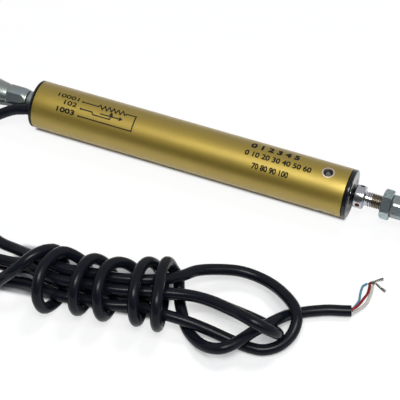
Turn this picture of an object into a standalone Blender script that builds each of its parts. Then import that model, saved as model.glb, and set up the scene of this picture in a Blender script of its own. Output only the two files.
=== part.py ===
"""Cylindrical linear potentiometer with a ball-jointed rod end at each end and a wound cable.

Metres, +Z up. The housing's axis lies along X at half the tube's diameter above the floor,
with the rod leaving towards +X. X = 0 is the middle of the overall length without the cable.
"""

import math

import bmesh
import bpy
from mathutils import Matrix, Vector

# Fits: the gap left between touching solids, and the running gap of moving ones
SEAT_GAP = 0.0003
RUN_GAP = 0.0003

# Housing tube and end caps
TUBE_DIAMETER = 0.018
TUBE_WALL = 0.0008
REAR_FLANGE = 0.0012
FRONT_FLANGE = 0.0018
FLANGE_CHAMFER = 0.0003
REAR_SPIGOT_LENGTH = 0.009
FRONT_SPIGOT_LENGTH = 0.022

# Radial screws that hold the front cap
SCREW_DIAMETER = 0.0032
SCREW_LENGTH = 0.0032
SCREW_RECESS = 0.0005
SCREW_FROM_FRONT = 0.0076
SCREW_SOCKET_FLATS = 0.0015
SCREW_SOCKET_DEPTH = 0.0014
SCREW_COUNT = 3
SCREW_FIRST_ANGLE = math.radians(5.6)

# Seals and the rod's bearing
O_RING_SECTION = 0.0010
O_RING_INSET = 0.0035
BEARING_WALL = 0.0010
BEARING_LENGTH = 0.011
SEAL_WALL = 0.0012
SEAL_DEPTH = 0.0020

# Rod: shaft, drilled boss, relief and thread, front to back as the rod shows it
STROKE = 0.052
SHAFT_DIAMETER = 0.004
BOSS_DIAMETER = 0.0084
BOSS_LENGTH = 0.0044
BOSS_STANDOFF = 0.0008
BOSS_CHAMFER = 0.0005
TOMMY_HOLE_DIAMETER = 0.0018
RELIEF_DIAMETER = 0.0040
RELIEF_CONE = 0.0010
RELIEF_LENGTH = 0.0007
THREAD_DIAMETER = 0.0048
THREAD_ENGAGEMENT = 0.009
FRONT_THREAD_SHOWN = 0.0043

# Jam nut on the front thread, round lock collar on the rear stud
NUT_ACROSS_FLATS = 0.0095
NUT_THICKNESS = 0.0032
COLLAR_DIAMETER = 0.0078
COLLAR_LENGTH = 0.0033
COLLAR_CHAMFER = 0.0004

# Rod ends
SHANK_ACROSS_FLATS = 0.0081
SHANK_LENGTH = 0.0078
SHANK_END_DIAMETER = 0.0078
SHANK_CHAMFER_LENGTH = 0.0022
EYE_DISTANCE = 0.027
EYE_DIAMETER = 0.016
EYE_THICKNESS = 0.0064
EYE_EDGE = 0.0007
BALL_DIAMETER = 0.0111
BALL_WIDTH = 0.008
BALL_BORE = 0.0048
RACE_WALL = 0.0008
RACE_WIDTH = 0.0058

# Resistance element, wiper carriage and terminals
BOARD_WIDTH = 0.0050
BOARD_THICKNESS = 0.0010
BOARD_SLOT_WALL = 0.0003
BOARD_IN_SLOT = 0.005
TRACK_WIDTH = 0.0016
TRACK_THICKNESS = 0.0003
TRACK_SPACING = 0.0026
TRACK_OVERRUN = 0.003
CARRIAGE_LENGTH = 0.013
TERMINAL_ROOM = 0.010
FRONT_END_ROOM = 0.0138
WIPER_WIDTH = 0.0012
WIPER_LEAF = 0.0002
WIPER_REACH = 0.006
WIPER_RISE = 0.00035
PIN_DIAMETER = 0.0008
PIN_HEIGHT = 0.0022
PIN_PITCH = 0.0018
PIN_FROM_CAP = 0.0025
PIN_STAGGER = 0.0014
COLLAR_ON_ROD_DIAMETER = 0.0056
COLLAR_ON_ROD_LENGTH = 0.0015
CLIP_THICKNESS = 0.0008
CLIP_DIAMETER = 0.0058
ROD_TAIL = 0.0012

# Cable: a hole beside the rear stud, the jacket and its three cores
CABLE_DIAMETER = 0.004
CABLE_HOLE_WALL = 0.0006
CABLE_ANGLE = math.radians(164)
CABLE_HOLE_CLEARANCE = 0.0002
GROMMET_DIAMETER = 0.0034
GROMMET_INSET = 0.0026
CORE_DIAMETER = 0.0011
CORE_GAP = 0.0002
STRAND_DIAMETER = 0.0006
TUBE_POINT_SPACING = 0.0095

# Shared facet counts
ROUND_STEPS = 48
SMALL_STEPS = 24

# Sizes that follow
TUBE_RADIUS = TUBE_DIAMETER / 2
BORE_RADIUS = TUBE_RADIUS - TUBE_WALL
SPIGOT_RADIUS = BORE_RADIUS - SEAT_GAP
AXIS_HEIGHT = TUBE_RADIUS
THREAD_BORE_RADIUS = THREAD_DIAMETER / 2 + SEAT_GAP
SHAFT_BORE_RADIUS = SHAFT_DIAMETER / 2 + RUN_GAP
RACE_INNER_RADIUS = BALL_DIAMETER / 2 + RUN_GAP
RACE_OUTER_RADIUS = RACE_INNER_RADIUS + RACE_WALL
EYE_BORE_RADIUS = RACE_OUTER_RADIUS + SEAT_GAP
BOARD_SLOT_HALF = BOARD_WIDTH / 2 + SEAT_GAP
BOARD_SLOT_DEPTH = math.sqrt(SPIGOT_RADIUS**2 - BOARD_SLOT_HALF**2) - BOARD_SLOT_WALL
BOARD_DROP = BOARD_SLOT_DEPTH - SEAT_GAP - BOARD_THICKNESS
TRACK_DROP = BOARD_DROP - SEAT_GAP - TRACK_THICKNESS
CARRIAGE_DROP = TRACK_DROP - RUN_GAP - WIPER_RISE - SEAT_GAP
CABLE_HOLE_RADIUS = CABLE_DIAMETER / 2 + CABLE_HOLE_CLEARANCE
CABLE_OFFSET = TUBE_RADIUS - CABLE_HOLE_WALL - CABLE_HOLE_RADIUS
GROMMET_START = -REAR_FLANGE + 2 * SEAT_GAP
GROMMET_END = REAR_SPIGOT_LENGTH - GROMMET_INSET
CARRIAGE_START = REAR_SPIGOT_LENGTH + TERMINAL_ROOM
CARRIAGE_END = CARRIAGE_START + CARRIAGE_LENGTH
ROD_COLLAR_START = CARRIAGE_END + RUN_GAP
ROD_COLLAR_END = ROD_COLLAR_START + COLLAR_ON_ROD_LENGTH
TUBE_LENGTH = ROD_COLLAR_END + STROKE + FRONT_END_ROOM + FRONT_SPIGOT_LENGTH

# Places along the axis, measured from the tube's rear end and then centred
REAR_FACE = -REAR_FLANGE
FRONT_FACE = TUBE_LENGTH + FRONT_FLANGE
REAR_COLLAR_END = REAR_FACE - SEAT_GAP - COLLAR_LENGTH
REAR_SHANK_FACE = REAR_COLLAR_END - SEAT_GAP
BOSS_START = FRONT_FACE + BOSS_STANDOFF
THREAD_START = BOSS_START + BOSS_LENGTH + RELIEF_CONE + RELIEF_LENGTH
NUT_START = THREAD_START + FRONT_THREAD_SHOWN
FRONT_SHANK_FACE = NUT_START + NUT_THICKNESS + SEAT_GAP
REAR_END = REAR_SHANK_FACE - EYE_DISTANCE - EYE_DIAMETER / 2
FRONT_END = FRONT_SHANK_FACE + EYE_DISTANCE + EYE_DIAMETER / 2
TUBE_X = -(REAR_END + FRONT_END) / 2

# Cable routes chosen by hand, from the housing to the hank and from the hank to its end
LEAD_ROUTE = (
    (-0.0706, -0.0063, 0.0106),
    (-0.0736, -0.0068, 0.0099),
    (-0.0766, -0.0075, 0.0085),
    (-0.0806, -0.0088, 0.0062),
    (-0.0856, -0.0120, 0.0038),
    (-0.0916, -0.0170, 0.0024),
    (-0.0976, -0.0250, 0.0020),
    (-0.1006, -0.0350, 0.0020),
    (-0.1000, -0.0455, 0.0020),
    (-0.0966, -0.0540, 0.0020),
    (-0.0902, -0.0614, 0.0020),
)
TAIL_ROUTE = (
    (0.0563, -0.0508, 0.0020),
    (0.0600, -0.0487, 0.0020),
    (0.0640, -0.0468, 0.0020),
    (0.0680, -0.0455, 0.0020),
    (0.0706, -0.0446, 0.0020),
)
# Each core's route from the jacket's end to its own end, then its bare strands
CORE_ROUTES = {
    "red": (
        (0.0712, -0.0442, 0.0028),
        (0.0727, -0.0416, 0.0028),
        (0.0737, -0.0382, 0.0024),
        (0.0741, -0.0350, 0.0018),
        (0.0737, -0.0319, 0.0016),
    ),
    "blue": (
        (0.0710, -0.0434, 0.0016),
        (0.0717, -0.0410, 0.0014),
        (0.0719, -0.0376, 0.0012),
        (0.0718, -0.0348, 0.0012),
        (0.0722, -0.0322, 0.0014),
    ),
    "white": (
        (0.0715, -0.0455, 0.0016),
        (0.0737, -0.0428, 0.0013),
        (0.0753, -0.0394, 0.0012),
        (0.0759, -0.0360, 0.0012),
        (0.0753, -0.0330, 0.0014),
    ),
}
STRAND_ROUTES = {
    "red": ((0.0737, -0.0314, 0.0016), (0.0744, -0.0302, 0.0018), (0.0756, -0.0294, 0.0018), (0.0772, -0.0275, 0.0012)),
    "blue": ((0.0726, -0.0318, 0.0014), (0.0732, -0.0306, 0.0010), (0.0737, -0.0291, 0.0009)),
    "white": ((0.0753, -0.0324, 0.0013), (0.0763, -0.0315, 0.0010), (0.0776, -0.0318, 0.0009), (0.0794, -0.0322, 0.0009)),
}
# Plan outlines of the hank's flat loops, and the line through its wrapped middle
RIGHT_LOOPS_OUTLINE = (
    (0.0140, -0.0530), (0.0220, -0.0470), (0.0310, -0.0425), (0.0400, -0.0418), (0.0500, -0.0455), (0.0565, -0.0520),
    (0.0582, -0.0600), (0.0560, -0.0680), (0.0480, -0.0735), (0.0400, -0.0795), (0.0310, -0.0803),
    (0.0235, -0.0780), (0.0150, -0.0760),
)
LEFT_LOOPS_OUTLINE = (
    (-0.0353, -0.0620), (-0.0480, -0.0590), (-0.0620, -0.0560), (-0.0770, -0.0535), (-0.0875, -0.0585),
    (-0.0905, -0.0690), (-0.0860, -0.0790), (-0.0770, -0.0850), (-0.0755, -0.0950), (-0.0735, -0.1040),
    (-0.0630, -0.1092), (-0.0520, -0.1070), (-0.0465, -0.0980), (-0.0455, -0.0890), (-0.0420, -0.0830),
    (-0.0360, -0.0815),
)
WRAPS_FROM = (-0.0331, -0.0746)
WRAPS_TO = (0.0173, -0.0646)
WRAPS_HEIGHT = 0.0208
WRAPS_FLAT = 0.0030
RIGHT_LOOPS_HEIGHT = 0.012
LEFT_LOOPS_HEIGHT = 0.008

PART_COLLECTION = "linear_potentiometer"
CUTTER_COLLECTION = "cutters"


def clear_scene():
    """Removes what the scene holds and adds the two collections."""
    for obj in list(bpy.data.objects):
        bpy.data.objects.remove(obj, do_unlink=True)
    for name in (PART_COLLECTION, CUTTER_COLLECTION):
        bpy.context.scene.collection.children.link(bpy.data.collections.new(name))


def material(name, colour, roughness, metallic=0.0):
    """A Principled material of one colour."""
    made = bpy.data.materials.new(name)
    made.use_nodes = True
    shader = made.node_tree.nodes["Principled BSDF"]
    shader.inputs["Base Color"].default_value = (*colour, 1.0)
    shader.inputs["Roughness"].default_value = roughness
    shader.inputs["Metallic"].default_value = metallic
    made.diffuse_color = (*colour, 1.0)
    return made


def place(data, name, finish, location=(0, 0, 0), rotation=(0, 0, 0)):
    """An object of the part from mesh or curve data."""
    obj = bpy.data.objects.new(name, data)
    bpy.data.collections[PART_COLLECTION].objects.link(obj)
    obj.location = location
    obj.rotation_euler = rotation
    obj.data.materials.append(finish)
    return obj


def make_cutter(obj):
    """Moves an object to the cutters, where it is drawn as wire and left out of the part."""
    for collection in list(obj.users_collection):
        collection.objects.unlink(obj)
    bpy.data.collections[CUTTER_COLLECTION].objects.link(obj)
    obj.hide_render = True
    obj.display_type = "WIRE"
    return obj


def boolean(obj, other, operation):
    """Joins, cuts or intersects obj with another object, which becomes a cutter."""
    modifier = obj.modifiers.new(f"{operation.lower()}_{other.name}", "BOOLEAN")
    modifier.operation = operation
    modifier.solver = "EXACT"
    modifier.object = make_cutter(other)


def axis_point(along, across=0.0, above=0.0):
    """A point by its distance from the tube's rear end, and its offset from the axis."""
    return Vector((TUBE_X + along, across, AXIS_HEIGHT + above))


def turned(name, finish, profile, steps=ROUND_STEPS, closed=True):
    """A body turned about its own Z from (radius, height) points, outer side first, downwards."""
    mesh = bpy.data.meshes.new(name)
    count = len(profile)
    edges = [(i, i + 1) for i in range(count - 1)]
    if closed:
        edges.append((count - 1, 0))
    mesh.from_pydata([(radius, 0.0, height) for radius, height in profile], edges, [])
    obj = place(mesh, name, finish)
    screw = obj.modifiers.new("turn", "SCREW")
    screw.steps = steps
    screw.render_steps = steps
    screw.use_merge_vertices = True
    screw.merge_threshold = 0.00001
    screw.use_smooth_shade = True
    return obj


def along_axis(obj, start):
    """Lays a turned body along the housing's axis, its own Z = 0 at start and its +Z towards +X."""
    obj.location = axis_point(start)
    obj.rotation_euler = (0, math.radians(90), 0)
    return obj


def ring_profile(outer, inner, bottom, top, chamfer=0.0):
    """A ring's section, with chamfers on its two outer edges."""
    return (
        (outer - chamfer, top),
        (outer, top - chamfer),
        (outer, bottom + chamfer),
        (outer - chamfer, bottom),
        (inner, bottom),
        (inner, top),
    )


def cylinder(name, finish, radius, length, steps=SMALL_STEPS):
    """A plain round bar from its own Z = 0 upwards."""
    return prism(name, finish, radius, length, steps)


def prism(name, finish, radius, length, sides):
    """A bar with regular sides from its own Z = 0 upwards."""
    shape = bmesh.new()
    bmesh.ops.create_cone(
        shape, cap_ends=True, segments=sides, radius1=radius, radius2=radius, depth=length,
        matrix=Matrix.Translation((0, 0, length / 2)),
    )
    mesh = bpy.data.meshes.new(name)
    shape.to_mesh(mesh)
    shape.free()
    return place(mesh, name, finish)


def block(name, finish, low, high):
    """A box between two corners."""
    shape = bmesh.new()
    size = [b - a for a, b in zip(low, high)]
    middle = [(a + b) / 2 for a, b in zip(low, high)]
    bmesh.ops.create_cube(shape, size=1.0, matrix=Matrix.Translation(middle) @ Matrix.Diagonal((*size, 1.0)))
    mesh = bpy.data.meshes.new(name)
    shape.to_mesh(mesh)
    shape.free()
    return place(mesh, name, finish)


def extruded(name, finish, outline, thickness):
    """A flat outline in its own XY, extruded equally to both sides of it."""
    shape = bmesh.new()
    low = [shape.verts.new((x, y, -thickness / 2)) for x, y in outline]
    high = [shape.verts.new((x, y, thickness / 2)) for x, y in outline]
    shape.faces.new(low)
    shape.faces.new(high)
    for i in range(len(outline)):
        j = (i + 1) % len(outline)
        shape.faces.new((low[i], low[j], high[j], high[i]))
    bmesh.ops.recalc_face_normals(shape, faces=shape.faces)
    mesh = bpy.data.meshes.new(name)
    shape.to_mesh(mesh)
    shape.free()
    return place(mesh, name, finish)


def smooth_route(points, spacing, cyclic=False):
    """Points about one spacing apart on a centripetal curve through the points given."""
    knots = [Vector(p) for p in points]
    if cyclic:
        knots = [knots[-1], *knots, knots[0], knots[1]]
    else:
        knots = [2 * knots[0] - knots[1], *knots, 2 * knots[-1] - knots[-2]]
    found = [knots[1]]
    for before, start, end, after in zip(knots, knots[1:], knots[2:], knots[3:]):
        first = math.sqrt((start - before).length)
        second = first + math.sqrt((end - start).length)
        third = second + math.sqrt((after - end).length)
        count = max(1, round((end - start).length / spacing))
        for step in range(1, count + 1):
            t = first + (second - first) * step / count
            low = before.lerp(start, t / first)
            middle = start.lerp(end, (t - first) / (second - first))
            high = end.lerp(after, (t - second) / (third - second))
            left = low.lerp(middle, t / second)
            right = middle.lerp(high, (t - first) / (third - first))
            found.append(left.lerp(right, (t - first) / (second - first)))
    return found[:-1] if cyclic else found


def round_wire(name, finish, points, diameter, resolution=2):
    """A round bar along points, with flat ends."""
    curve = bpy.data.curves.new(name, "CURVE")
    curve.dimensions = "3D"
    curve.bevel_depth = diameter / 2
    curve.bevel_resolution = resolution
    curve.use_fill_caps = True
    spline = curve.splines.new("POLY")
    spline.points.add(len(points) - 1)
    for point, place_at in zip(spline.points, points):
        point.co = (*place_at, 1.0)
    return place(curve, name, finish)


def arc(radius, start, end, count, centre=(0.0, 0.0)):
    """Points on an arc, its ends included, by angles in degrees."""
    angles = [math.radians(start + (end - start) * i / count) for i in range(count + 1)]
    return [(centre[0] + radius * math.cos(a), centre[1] + radius * math.sin(a)) for a in angles]


def build_tube(finish):
    """The anodised tube, with its three screw holes."""
    tube = turned("housing_tube", finish, ring_profile(TUBE_RADIUS, BORE_RADIUS, 0.0, TUBE_LENGTH, TUBE_WALL / 6))
    along_axis(tube, 0.0)
    for number in range(SCREW_COUNT):
        hole = screw_bar(f"tube_hole_{number + 1}", finish, number, SCREW_DIAMETER / 2 + SEAT_GAP, BORE_RADIUS - TUBE_WALL, TUBE_RADIUS + TUBE_WALL)
        boolean(tube, hole, "DIFFERENCE")


def screw_bar(name, finish, number, radius, inner, outer):
    """A bar on one of the front cap's screw axes, from an inner to an outer radius."""
    bar = cylinder(name, finish, radius, outer - inner, SMALL_STEPS)
    turn = Matrix.Rotation(SCREW_FIRST_ANGLE + 2 * math.pi * number / SCREW_COUNT, 4, "X")
    base = Matrix.Translation(axis_point(TUBE_LENGTH - SCREW_FROM_FRONT))
    bar.matrix_world = base @ turn @ Matrix.Translation((0, 0, inner))
    return bar


def build_cap_screws(finish):
    """Socket set screws below the tube's surface, turned into the front cap."""
    top = TUBE_RADIUS - SCREW_RECESS
    for number in range(SCREW_COUNT):
        screw = screw_bar(f"cap_screw_{number + 1}", finish, number, SCREW_DIAMETER / 2, top - SCREW_LENGTH, top)
        socket = prism(f"socket_{number + 1}", finish, SCREW_SOCKET_FLATS / 2 / math.cos(math.radians(30)), 2 * SCREW_SOCKET_DEPTH, 6)
        socket.matrix_world = screw.matrix_world @ Matrix.Translation((0, 0, SCREW_LENGTH - SCREW_SOCKET_DEPTH))
        boolean(screw, socket, "DIFFERENCE")


def o_ring_groove_radius():
    """The bottom of an O-ring's groove: the ring just clears the tube's bore."""
    return SPIGOT_RADIUS - O_RING_SECTION - SEAT_GAP


def board_slot(name, finish, start, end):
    """The slot in a cap that holds an end of the element board."""
    low = axis_point(start, -BOARD_SLOT_HALF, -BOARD_SLOT_DEPTH)
    high = axis_point(end, BOARD_SLOT_HALF, -BOARD_DROP + SEAT_GAP)
    return block(name, finish, low, high)


def build_front_cap(finish):
    """Flange, spigot with an O-ring groove, bearing bore and seal recess, screw holes and board slot."""
    groove = o_ring_groove_radius()
    back = -FRONT_SPIGOT_LENGTH
    groove_top = -O_RING_INSET + O_RING_SECTION / 2 + SEAT_GAP
    groove_bottom = -O_RING_INSET - O_RING_SECTION / 2 - SEAT_GAP
    bearing_radius = SHAFT_BORE_RADIUS + BEARING_WALL + SEAT_GAP
    seal_radius = SHAFT_BORE_RADIUS + SEAL_WALL + SEAT_GAP
    seal_floor = FRONT_FLANGE - SEAL_DEPTH - SEAT_GAP
    bearing_stop = back + BEARING_LENGTH + SEAT_GAP
    cap = turned(
        "front_cap",
        finish,
        (
            (TUBE_RADIUS - FLANGE_CHAMFER, FRONT_FLANGE),
            (TUBE_RADIUS, FRONT_FLANGE - FLANGE_CHAMFER),
            (TUBE_RADIUS, SEAT_GAP),
            (SPIGOT_RADIUS, SEAT_GAP),
            (SPIGOT_RADIUS, groove_top),
            (groove, groove_top),
            (groove, groove_bottom),
            (SPIGOT_RADIUS, groove_bottom),
            (SPIGOT_RADIUS, back),
            (bearing_radius, back),
            (bearing_radius, bearing_stop),
            (SHAFT_BORE_RADIUS, bearing_stop),
            (SHAFT_BORE_RADIUS, seal_floor),
            (seal_radius, seal_floor),
            (seal_radius, FRONT_FLANGE),
        ),
    )
    along_axis(cap, TUBE_LENGTH)
    for number in range(SCREW_COUNT):
        tip = TUBE_RADIUS - SCREW_RECESS - SCREW_LENGTH - SEAT_GAP
        hole = screw_bar(f"cap_hole_{number + 1}", finish, number, SCREW_DIAMETER / 2 + SEAT_GAP, tip, TUBE_RADIUS)
        boolean(cap, hole, "DIFFERENCE")
    inner = TUBE_LENGTH - FRONT_SPIGOT_LENGTH
    boolean(cap, board_slot("front_slot", finish, inner - SEAT_GAP, inner + BOARD_IN_SLOT + SEAT_GAP), "DIFFERENCE")


def cable_point(along):
    """The cable's axis where it passes the rear cap, beside the stud."""
    return axis_point(along, CABLE_OFFSET * math.cos(CABLE_ANGLE), CABLE_OFFSET * math.sin(CABLE_ANGLE))


def build_rear_cap(finish):
    """Flange and bonded spigot with a stud bore, a cable passage and a board slot."""
    cap = turned(
        "rear_cap",
        finish,
        (
            (SPIGOT_RADIUS, REAR_SPIGOT_LENGTH),
            (SPIGOT_RADIUS, -SEAT_GAP),
            (TUBE_RADIUS, -SEAT_GAP),
            (TUBE_RADIUS, -REAR_FLANGE + FLANGE_CHAMFER),
            (TUBE_RADIUS - FLANGE_CHAMFER, -REAR_FLANGE),
            (THREAD_BORE_RADIUS, -REAR_FLANGE),
            (THREAD_BORE_RADIUS, REAR_SPIGOT_LENGTH),
        ),
    )
    along_axis(cap, 0.0)
    passage = cylinder("cable_passage", finish, CABLE_HOLE_RADIUS, REAR_SPIGOT_LENGTH + 3 * REAR_FLANGE)
    passage.location = cable_point(-2 * REAR_FLANGE)
    passage.rotation_euler = (0, math.radians(90), 0)
    boolean(cap, passage, "DIFFERENCE")
    inner = REAR_SPIGOT_LENGTH
    boolean(cap, board_slot("rear_slot", finish, inner - BOARD_IN_SLOT - SEAT_GAP, inner + SEAT_GAP), "DIFFERENCE")


def build_seals(rubber, bronze):
    """The front cap's O-ring, the rod's wiper seal and its plain bearing."""
    ring_radius = o_ring_groove_radius() + SEAT_GAP + O_RING_SECTION / 2
    section = arc(O_RING_SECTION / 2, 90, -270, 8, (ring_radius, 0.0))[:-1]
    along_axis(turned("front_o_ring", rubber, section), TUBE_LENGTH - O_RING_INSET)
    seal = ring_profile(SHAFT_BORE_RADIUS + SEAL_WALL, SHAFT_BORE_RADIUS, 0.0, SEAL_DEPTH)
    along_axis(turned("shaft_seal", rubber, seal), FRONT_FACE - SEAL_DEPTH)
    bearing = ring_profile(SHAFT_BORE_RADIUS + BEARING_WALL, SHAFT_BORE_RADIUS, 0.0, BEARING_LENGTH)
    along_axis(turned("front_bearing", bronze, bearing), TUBE_LENGTH - FRONT_SPIGOT_LENGTH)


def build_rod(finish):
    """Shaft with a shoulder, a clip groove and a drilled boss, then the relief and the thread."""
    shaft = SHAFT_DIAMETER / 2
    boss = BOSS_DIAMETER / 2
    thread = THREAD_DIAMETER / 2
    relief = RELIEF_DIAMETER / 2
    clip_front = CARRIAGE_START - RUN_GAP
    clip_back = clip_front - CLIP_THICKNESS - 2 * SEAT_GAP
    groove = shaft - BOSS_CHAMFER - SEAT_GAP
    tip = FRONT_SHANK_FACE + THREAD_ENGAGEMENT
    boss_end = BOSS_START + BOSS_LENGTH
    profile = (
        (0.0, tip),
        (thread - BOSS_CHAMFER, tip),
        (thread, tip - BOSS_CHAMFER),
        (thread, THREAD_START),
        (relief, THREAD_START - RELIEF_LENGTH / 2),
        (relief, THREAD_START - RELIEF_LENGTH),
        (boss - 2 * BOSS_CHAMFER, boss_end),
        (boss, boss_end - BOSS_CHAMFER),
        (boss, BOSS_START + BOSS_CHAMFER),
        (boss - BOSS_CHAMFER, BOSS_START),
        (shaft, BOSS_START),
        (shaft, ROD_COLLAR_END),
        (COLLAR_ON_ROD_DIAMETER / 2, ROD_COLLAR_END),
        (COLLAR_ON_ROD_DIAMETER / 2, ROD_COLLAR_START),
        (shaft, ROD_COLLAR_START),
        (shaft, clip_front),
        (groove, clip_front),
        (groove, clip_back),
        (shaft, clip_back),
        (shaft, clip_back - ROD_TAIL + BOSS_CHAMFER),
        (shaft - BOSS_CHAMFER, clip_back - ROD_TAIL),
        (0.0, clip_back - ROD_TAIL),
    )
    rod = along_axis(turned("rod", finish, profile, closed=False), 0.0)
    middle = axis_point(BOSS_START + BOSS_LENGTH / 2)
    for number, angle in enumerate((0, 90)):
        drill = cylinder(f"tommy_drill_{number + 1}", finish, TOMMY_HOLE_DIAMETER / 2, 2 * BOSS_DIAMETER, 12)
        drill.matrix_world = (
            Matrix.Translation(middle)
            @ Matrix.Rotation(math.radians(angle), 4, "X")
            @ Matrix.Translation((0, 0, -BOSS_DIAMETER))
        )
        boolean(rod, drill, "DIFFERENCE")
    clip = ring_profile(CLIP_DIAMETER / 2, groove + SEAT_GAP, 0.0, CLIP_THICKNESS)
    along_axis(turned("rod_clip", finish, clip, SMALL_STEPS), clip_back + SEAT_GAP)


def hex_nut(name, finish, across_flats, thickness):
    """A nut from its own Z = 0 upwards, with its corners turned off at both faces."""
    corner = across_flats / 2 / math.cos(math.radians(30))
    nut = prism(name, finish, corner, thickness, 6)
    chamfer = corner - across_flats / 2
    envelope = turned(
        f"{name}_envelope",
        finish,
        (
            (0.0, thickness + SEAT_GAP),
            (across_flats / 2 - 2 * SEAT_GAP, thickness + SEAT_GAP),
            (corner + SEAT_GAP, thickness - chamfer * 0.6),
            (corner + SEAT_GAP, chamfer * 0.6),
            (across_flats / 2 - 2 * SEAT_GAP, -SEAT_GAP),
            (0.0, -SEAT_GAP),
        ),
        steps=36,
        closed=False,
    )
    envelope.parent = nut
    boolean(nut, envelope, "INTERSECT")
    bore = cylinder(f"{name}_bore", finish, THREAD_BORE_RADIUS, 3 * thickness)
    bore.parent = nut
    bore.location = (0, 0, -thickness)
    boolean(nut, bore, "DIFFERENCE")
    return nut


def build_nut_and_collar(steel):
    """The front jam nut and the rear lock collar."""
    along_axis(hex_nut("jam_nut", steel, NUT_ACROSS_FLATS, NUT_THICKNESS), NUT_START)
    collar = ring_profile(COLLAR_DIAMETER / 2, THREAD_BORE_RADIUS, 0.0, COLLAR_LENGTH, COLLAR_CHAMFER)
    along_axis(turned("rear_lock_collar", steel, collar, 36), REAR_COLLAR_END)


def build_rear_stud(steel):
    """The threaded stud from the rear cap into the rear rod end."""
    radius = THREAD_DIAMETER / 2
    start = REAR_SHANK_FACE - THREAD_ENGAGEMENT
    length = REAR_SPIGOT_LENGTH - start
    profile = (
        (0.0, length),
        (radius, length),
        (radius, BOSS_CHAMFER),
        (radius - BOSS_CHAMFER, 0.0),
        (0.0, 0.0),
    )
    along_axis(turned("rear_stud", steel, profile, SMALL_STEPS, closed=False), start)


def lofted(name, finish, sections, sides):
    """A body along its own X through upright ellipses given by (place, half width in Y, half height in Z)."""
    shape = bmesh.new()
    rings = []
    for place_at, wide, high in sections:
        angles = [2 * math.pi * i / sides for i in range(sides)]
        rings.append([shape.verts.new((place_at, wide * math.cos(a), high * math.sin(a))) for a in angles])
    for first, second in zip(rings, rings[1:]):
        for i in range(sides):
            j = (i + 1) % sides
            shape.faces.new((first[i], second[i], second[j], first[j]))
    shape.faces.new(rings[0])
    shape.faces.new(list(reversed(rings[-1])))
    bmesh.ops.recalc_face_normals(shape, faces=shape.faces)
    mesh = bpy.data.meshes.new(name)
    shape.to_mesh(mesh)
    shape.free()
    return place(mesh, name, finish)


def rod_end(prefix, frame, steel, race_steel, ball_steel):
    """A female rod end along its own X from its shank's face, its race, and the ball in it."""
    body_name = f"{prefix}_rod_end"
    corner = SHANK_ACROSS_FLATS / 2 / math.cos(math.radians(30))
    shank = prism(body_name, steel, corner, SHANK_LENGTH, 6)
    lie = Matrix.Rotation(math.radians(90), 4, "Y")
    shank.matrix_world = frame @ lie
    envelope = turned(
        f"{prefix}_shank_envelope",
        steel,
        (
            (0.0, SHANK_LENGTH + SEAT_GAP),
            (corner + SEAT_GAP, SHANK_LENGTH + SEAT_GAP),
            (corner + SEAT_GAP, SHANK_CHAMFER_LENGTH),
            (SHANK_END_DIAMETER / 2, -SEAT_GAP),
            (0.0, -SEAT_GAP),
        ),
        steps=36,
        closed=False,
    )
    envelope.matrix_world = frame @ lie
    boolean(shank, envelope, "INTERSECT")
    eye_radius = EYE_DIAMETER / 2
    half_thickness = EYE_THICKNESS / 2
    round_half = SHANK_ACROSS_FLATS / 2
    neck_start = SHANK_LENGTH - 4 * SEAT_GAP
    neck_end = EYE_DISTANCE - eye_radius / 2
    neck_length = neck_end - neck_start
    neck = lofted(
        f"{prefix}_neck",
        steel,
        (
            (neck_start, round_half - SEAT_GAP, round_half - SEAT_GAP),
            (neck_start + 0.12 * neck_length, round_half * 1.04, round_half * 1.04),
            (neck_start + 0.30 * neck_length, round_half * 1.17, round_half * 1.14),
            (neck_start + 0.48 * neck_length, round_half * 1.36, round_half * 1.20),
            (neck_start + 0.66 * neck_length, round_half * 1.56, round_half * 1.10),
            (neck_start + 0.84 * neck_length, eye_radius * 0.86, half_thickness * 1.12),
            (neck_end, eye_radius * 0.90, half_thickness * 0.90),
        ),
        24,
    )
    neck.matrix_world = frame
    boolean(shank, neck, "UNION")
    eye_frame = frame @ Matrix.Translation((EYE_DISTANCE, 0, 0))
    eye = turned(
        f"{prefix}_eye",
        steel,
        (
            (0.0, half_thickness),
            (eye_radius - EYE_EDGE, half_thickness),
            (eye_radius, half_thickness - EYE_EDGE),
            (eye_radius, -half_thickness + EYE_EDGE),
            (eye_radius - EYE_EDGE, -half_thickness),
            (0.0, -half_thickness),
        ),
        closed=False,
    )
    eye.matrix_world = eye_frame
    boolean(shank, eye, "UNION")
    bore = cylinder(f"{prefix}_eye_bore", steel, EYE_BORE_RADIUS, 3 * EYE_THICKNESS, ROUND_STEPS)
    half_step = Matrix.Rotation(math.pi / ROUND_STEPS, 4, "Z")
    bore.matrix_world = eye_frame @ half_step @ Matrix.Translation((0, 0, -1.5 * EYE_THICKNESS))
    boolean(shank, bore, "DIFFERENCE")
    thread = cylinder(f"{prefix}_thread_bore", steel, THREAD_BORE_RADIUS, 2 * THREAD_ENGAGEMENT + 4 * SEAT_GAP)
    thread.matrix_world = frame @ lie @ Matrix.Translation((0, 0, -THREAD_ENGAGEMENT - 2 * SEAT_GAP))
    boolean(shank, thread, "DIFFERENCE")
    build_race(f"{prefix}_race", eye_frame, race_steel)
    build_ball(f"{prefix}_ball", eye_frame, ball_steel)


def build_race(name, frame, finish):
    """The ring pressed into the eye, hollowed to a sphere round the ball."""
    half = RACE_WIDTH / 2
    limit = math.degrees(math.asin(half / RACE_INNER_RADIUS))
    inner = arc(RACE_INNER_RADIUS, -limit, limit, 6)
    race = turned(name, finish, ((RACE_OUTER_RADIUS, half), (RACE_OUTER_RADIUS, -half), *inner), 36)
    race.matrix_world = frame


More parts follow.
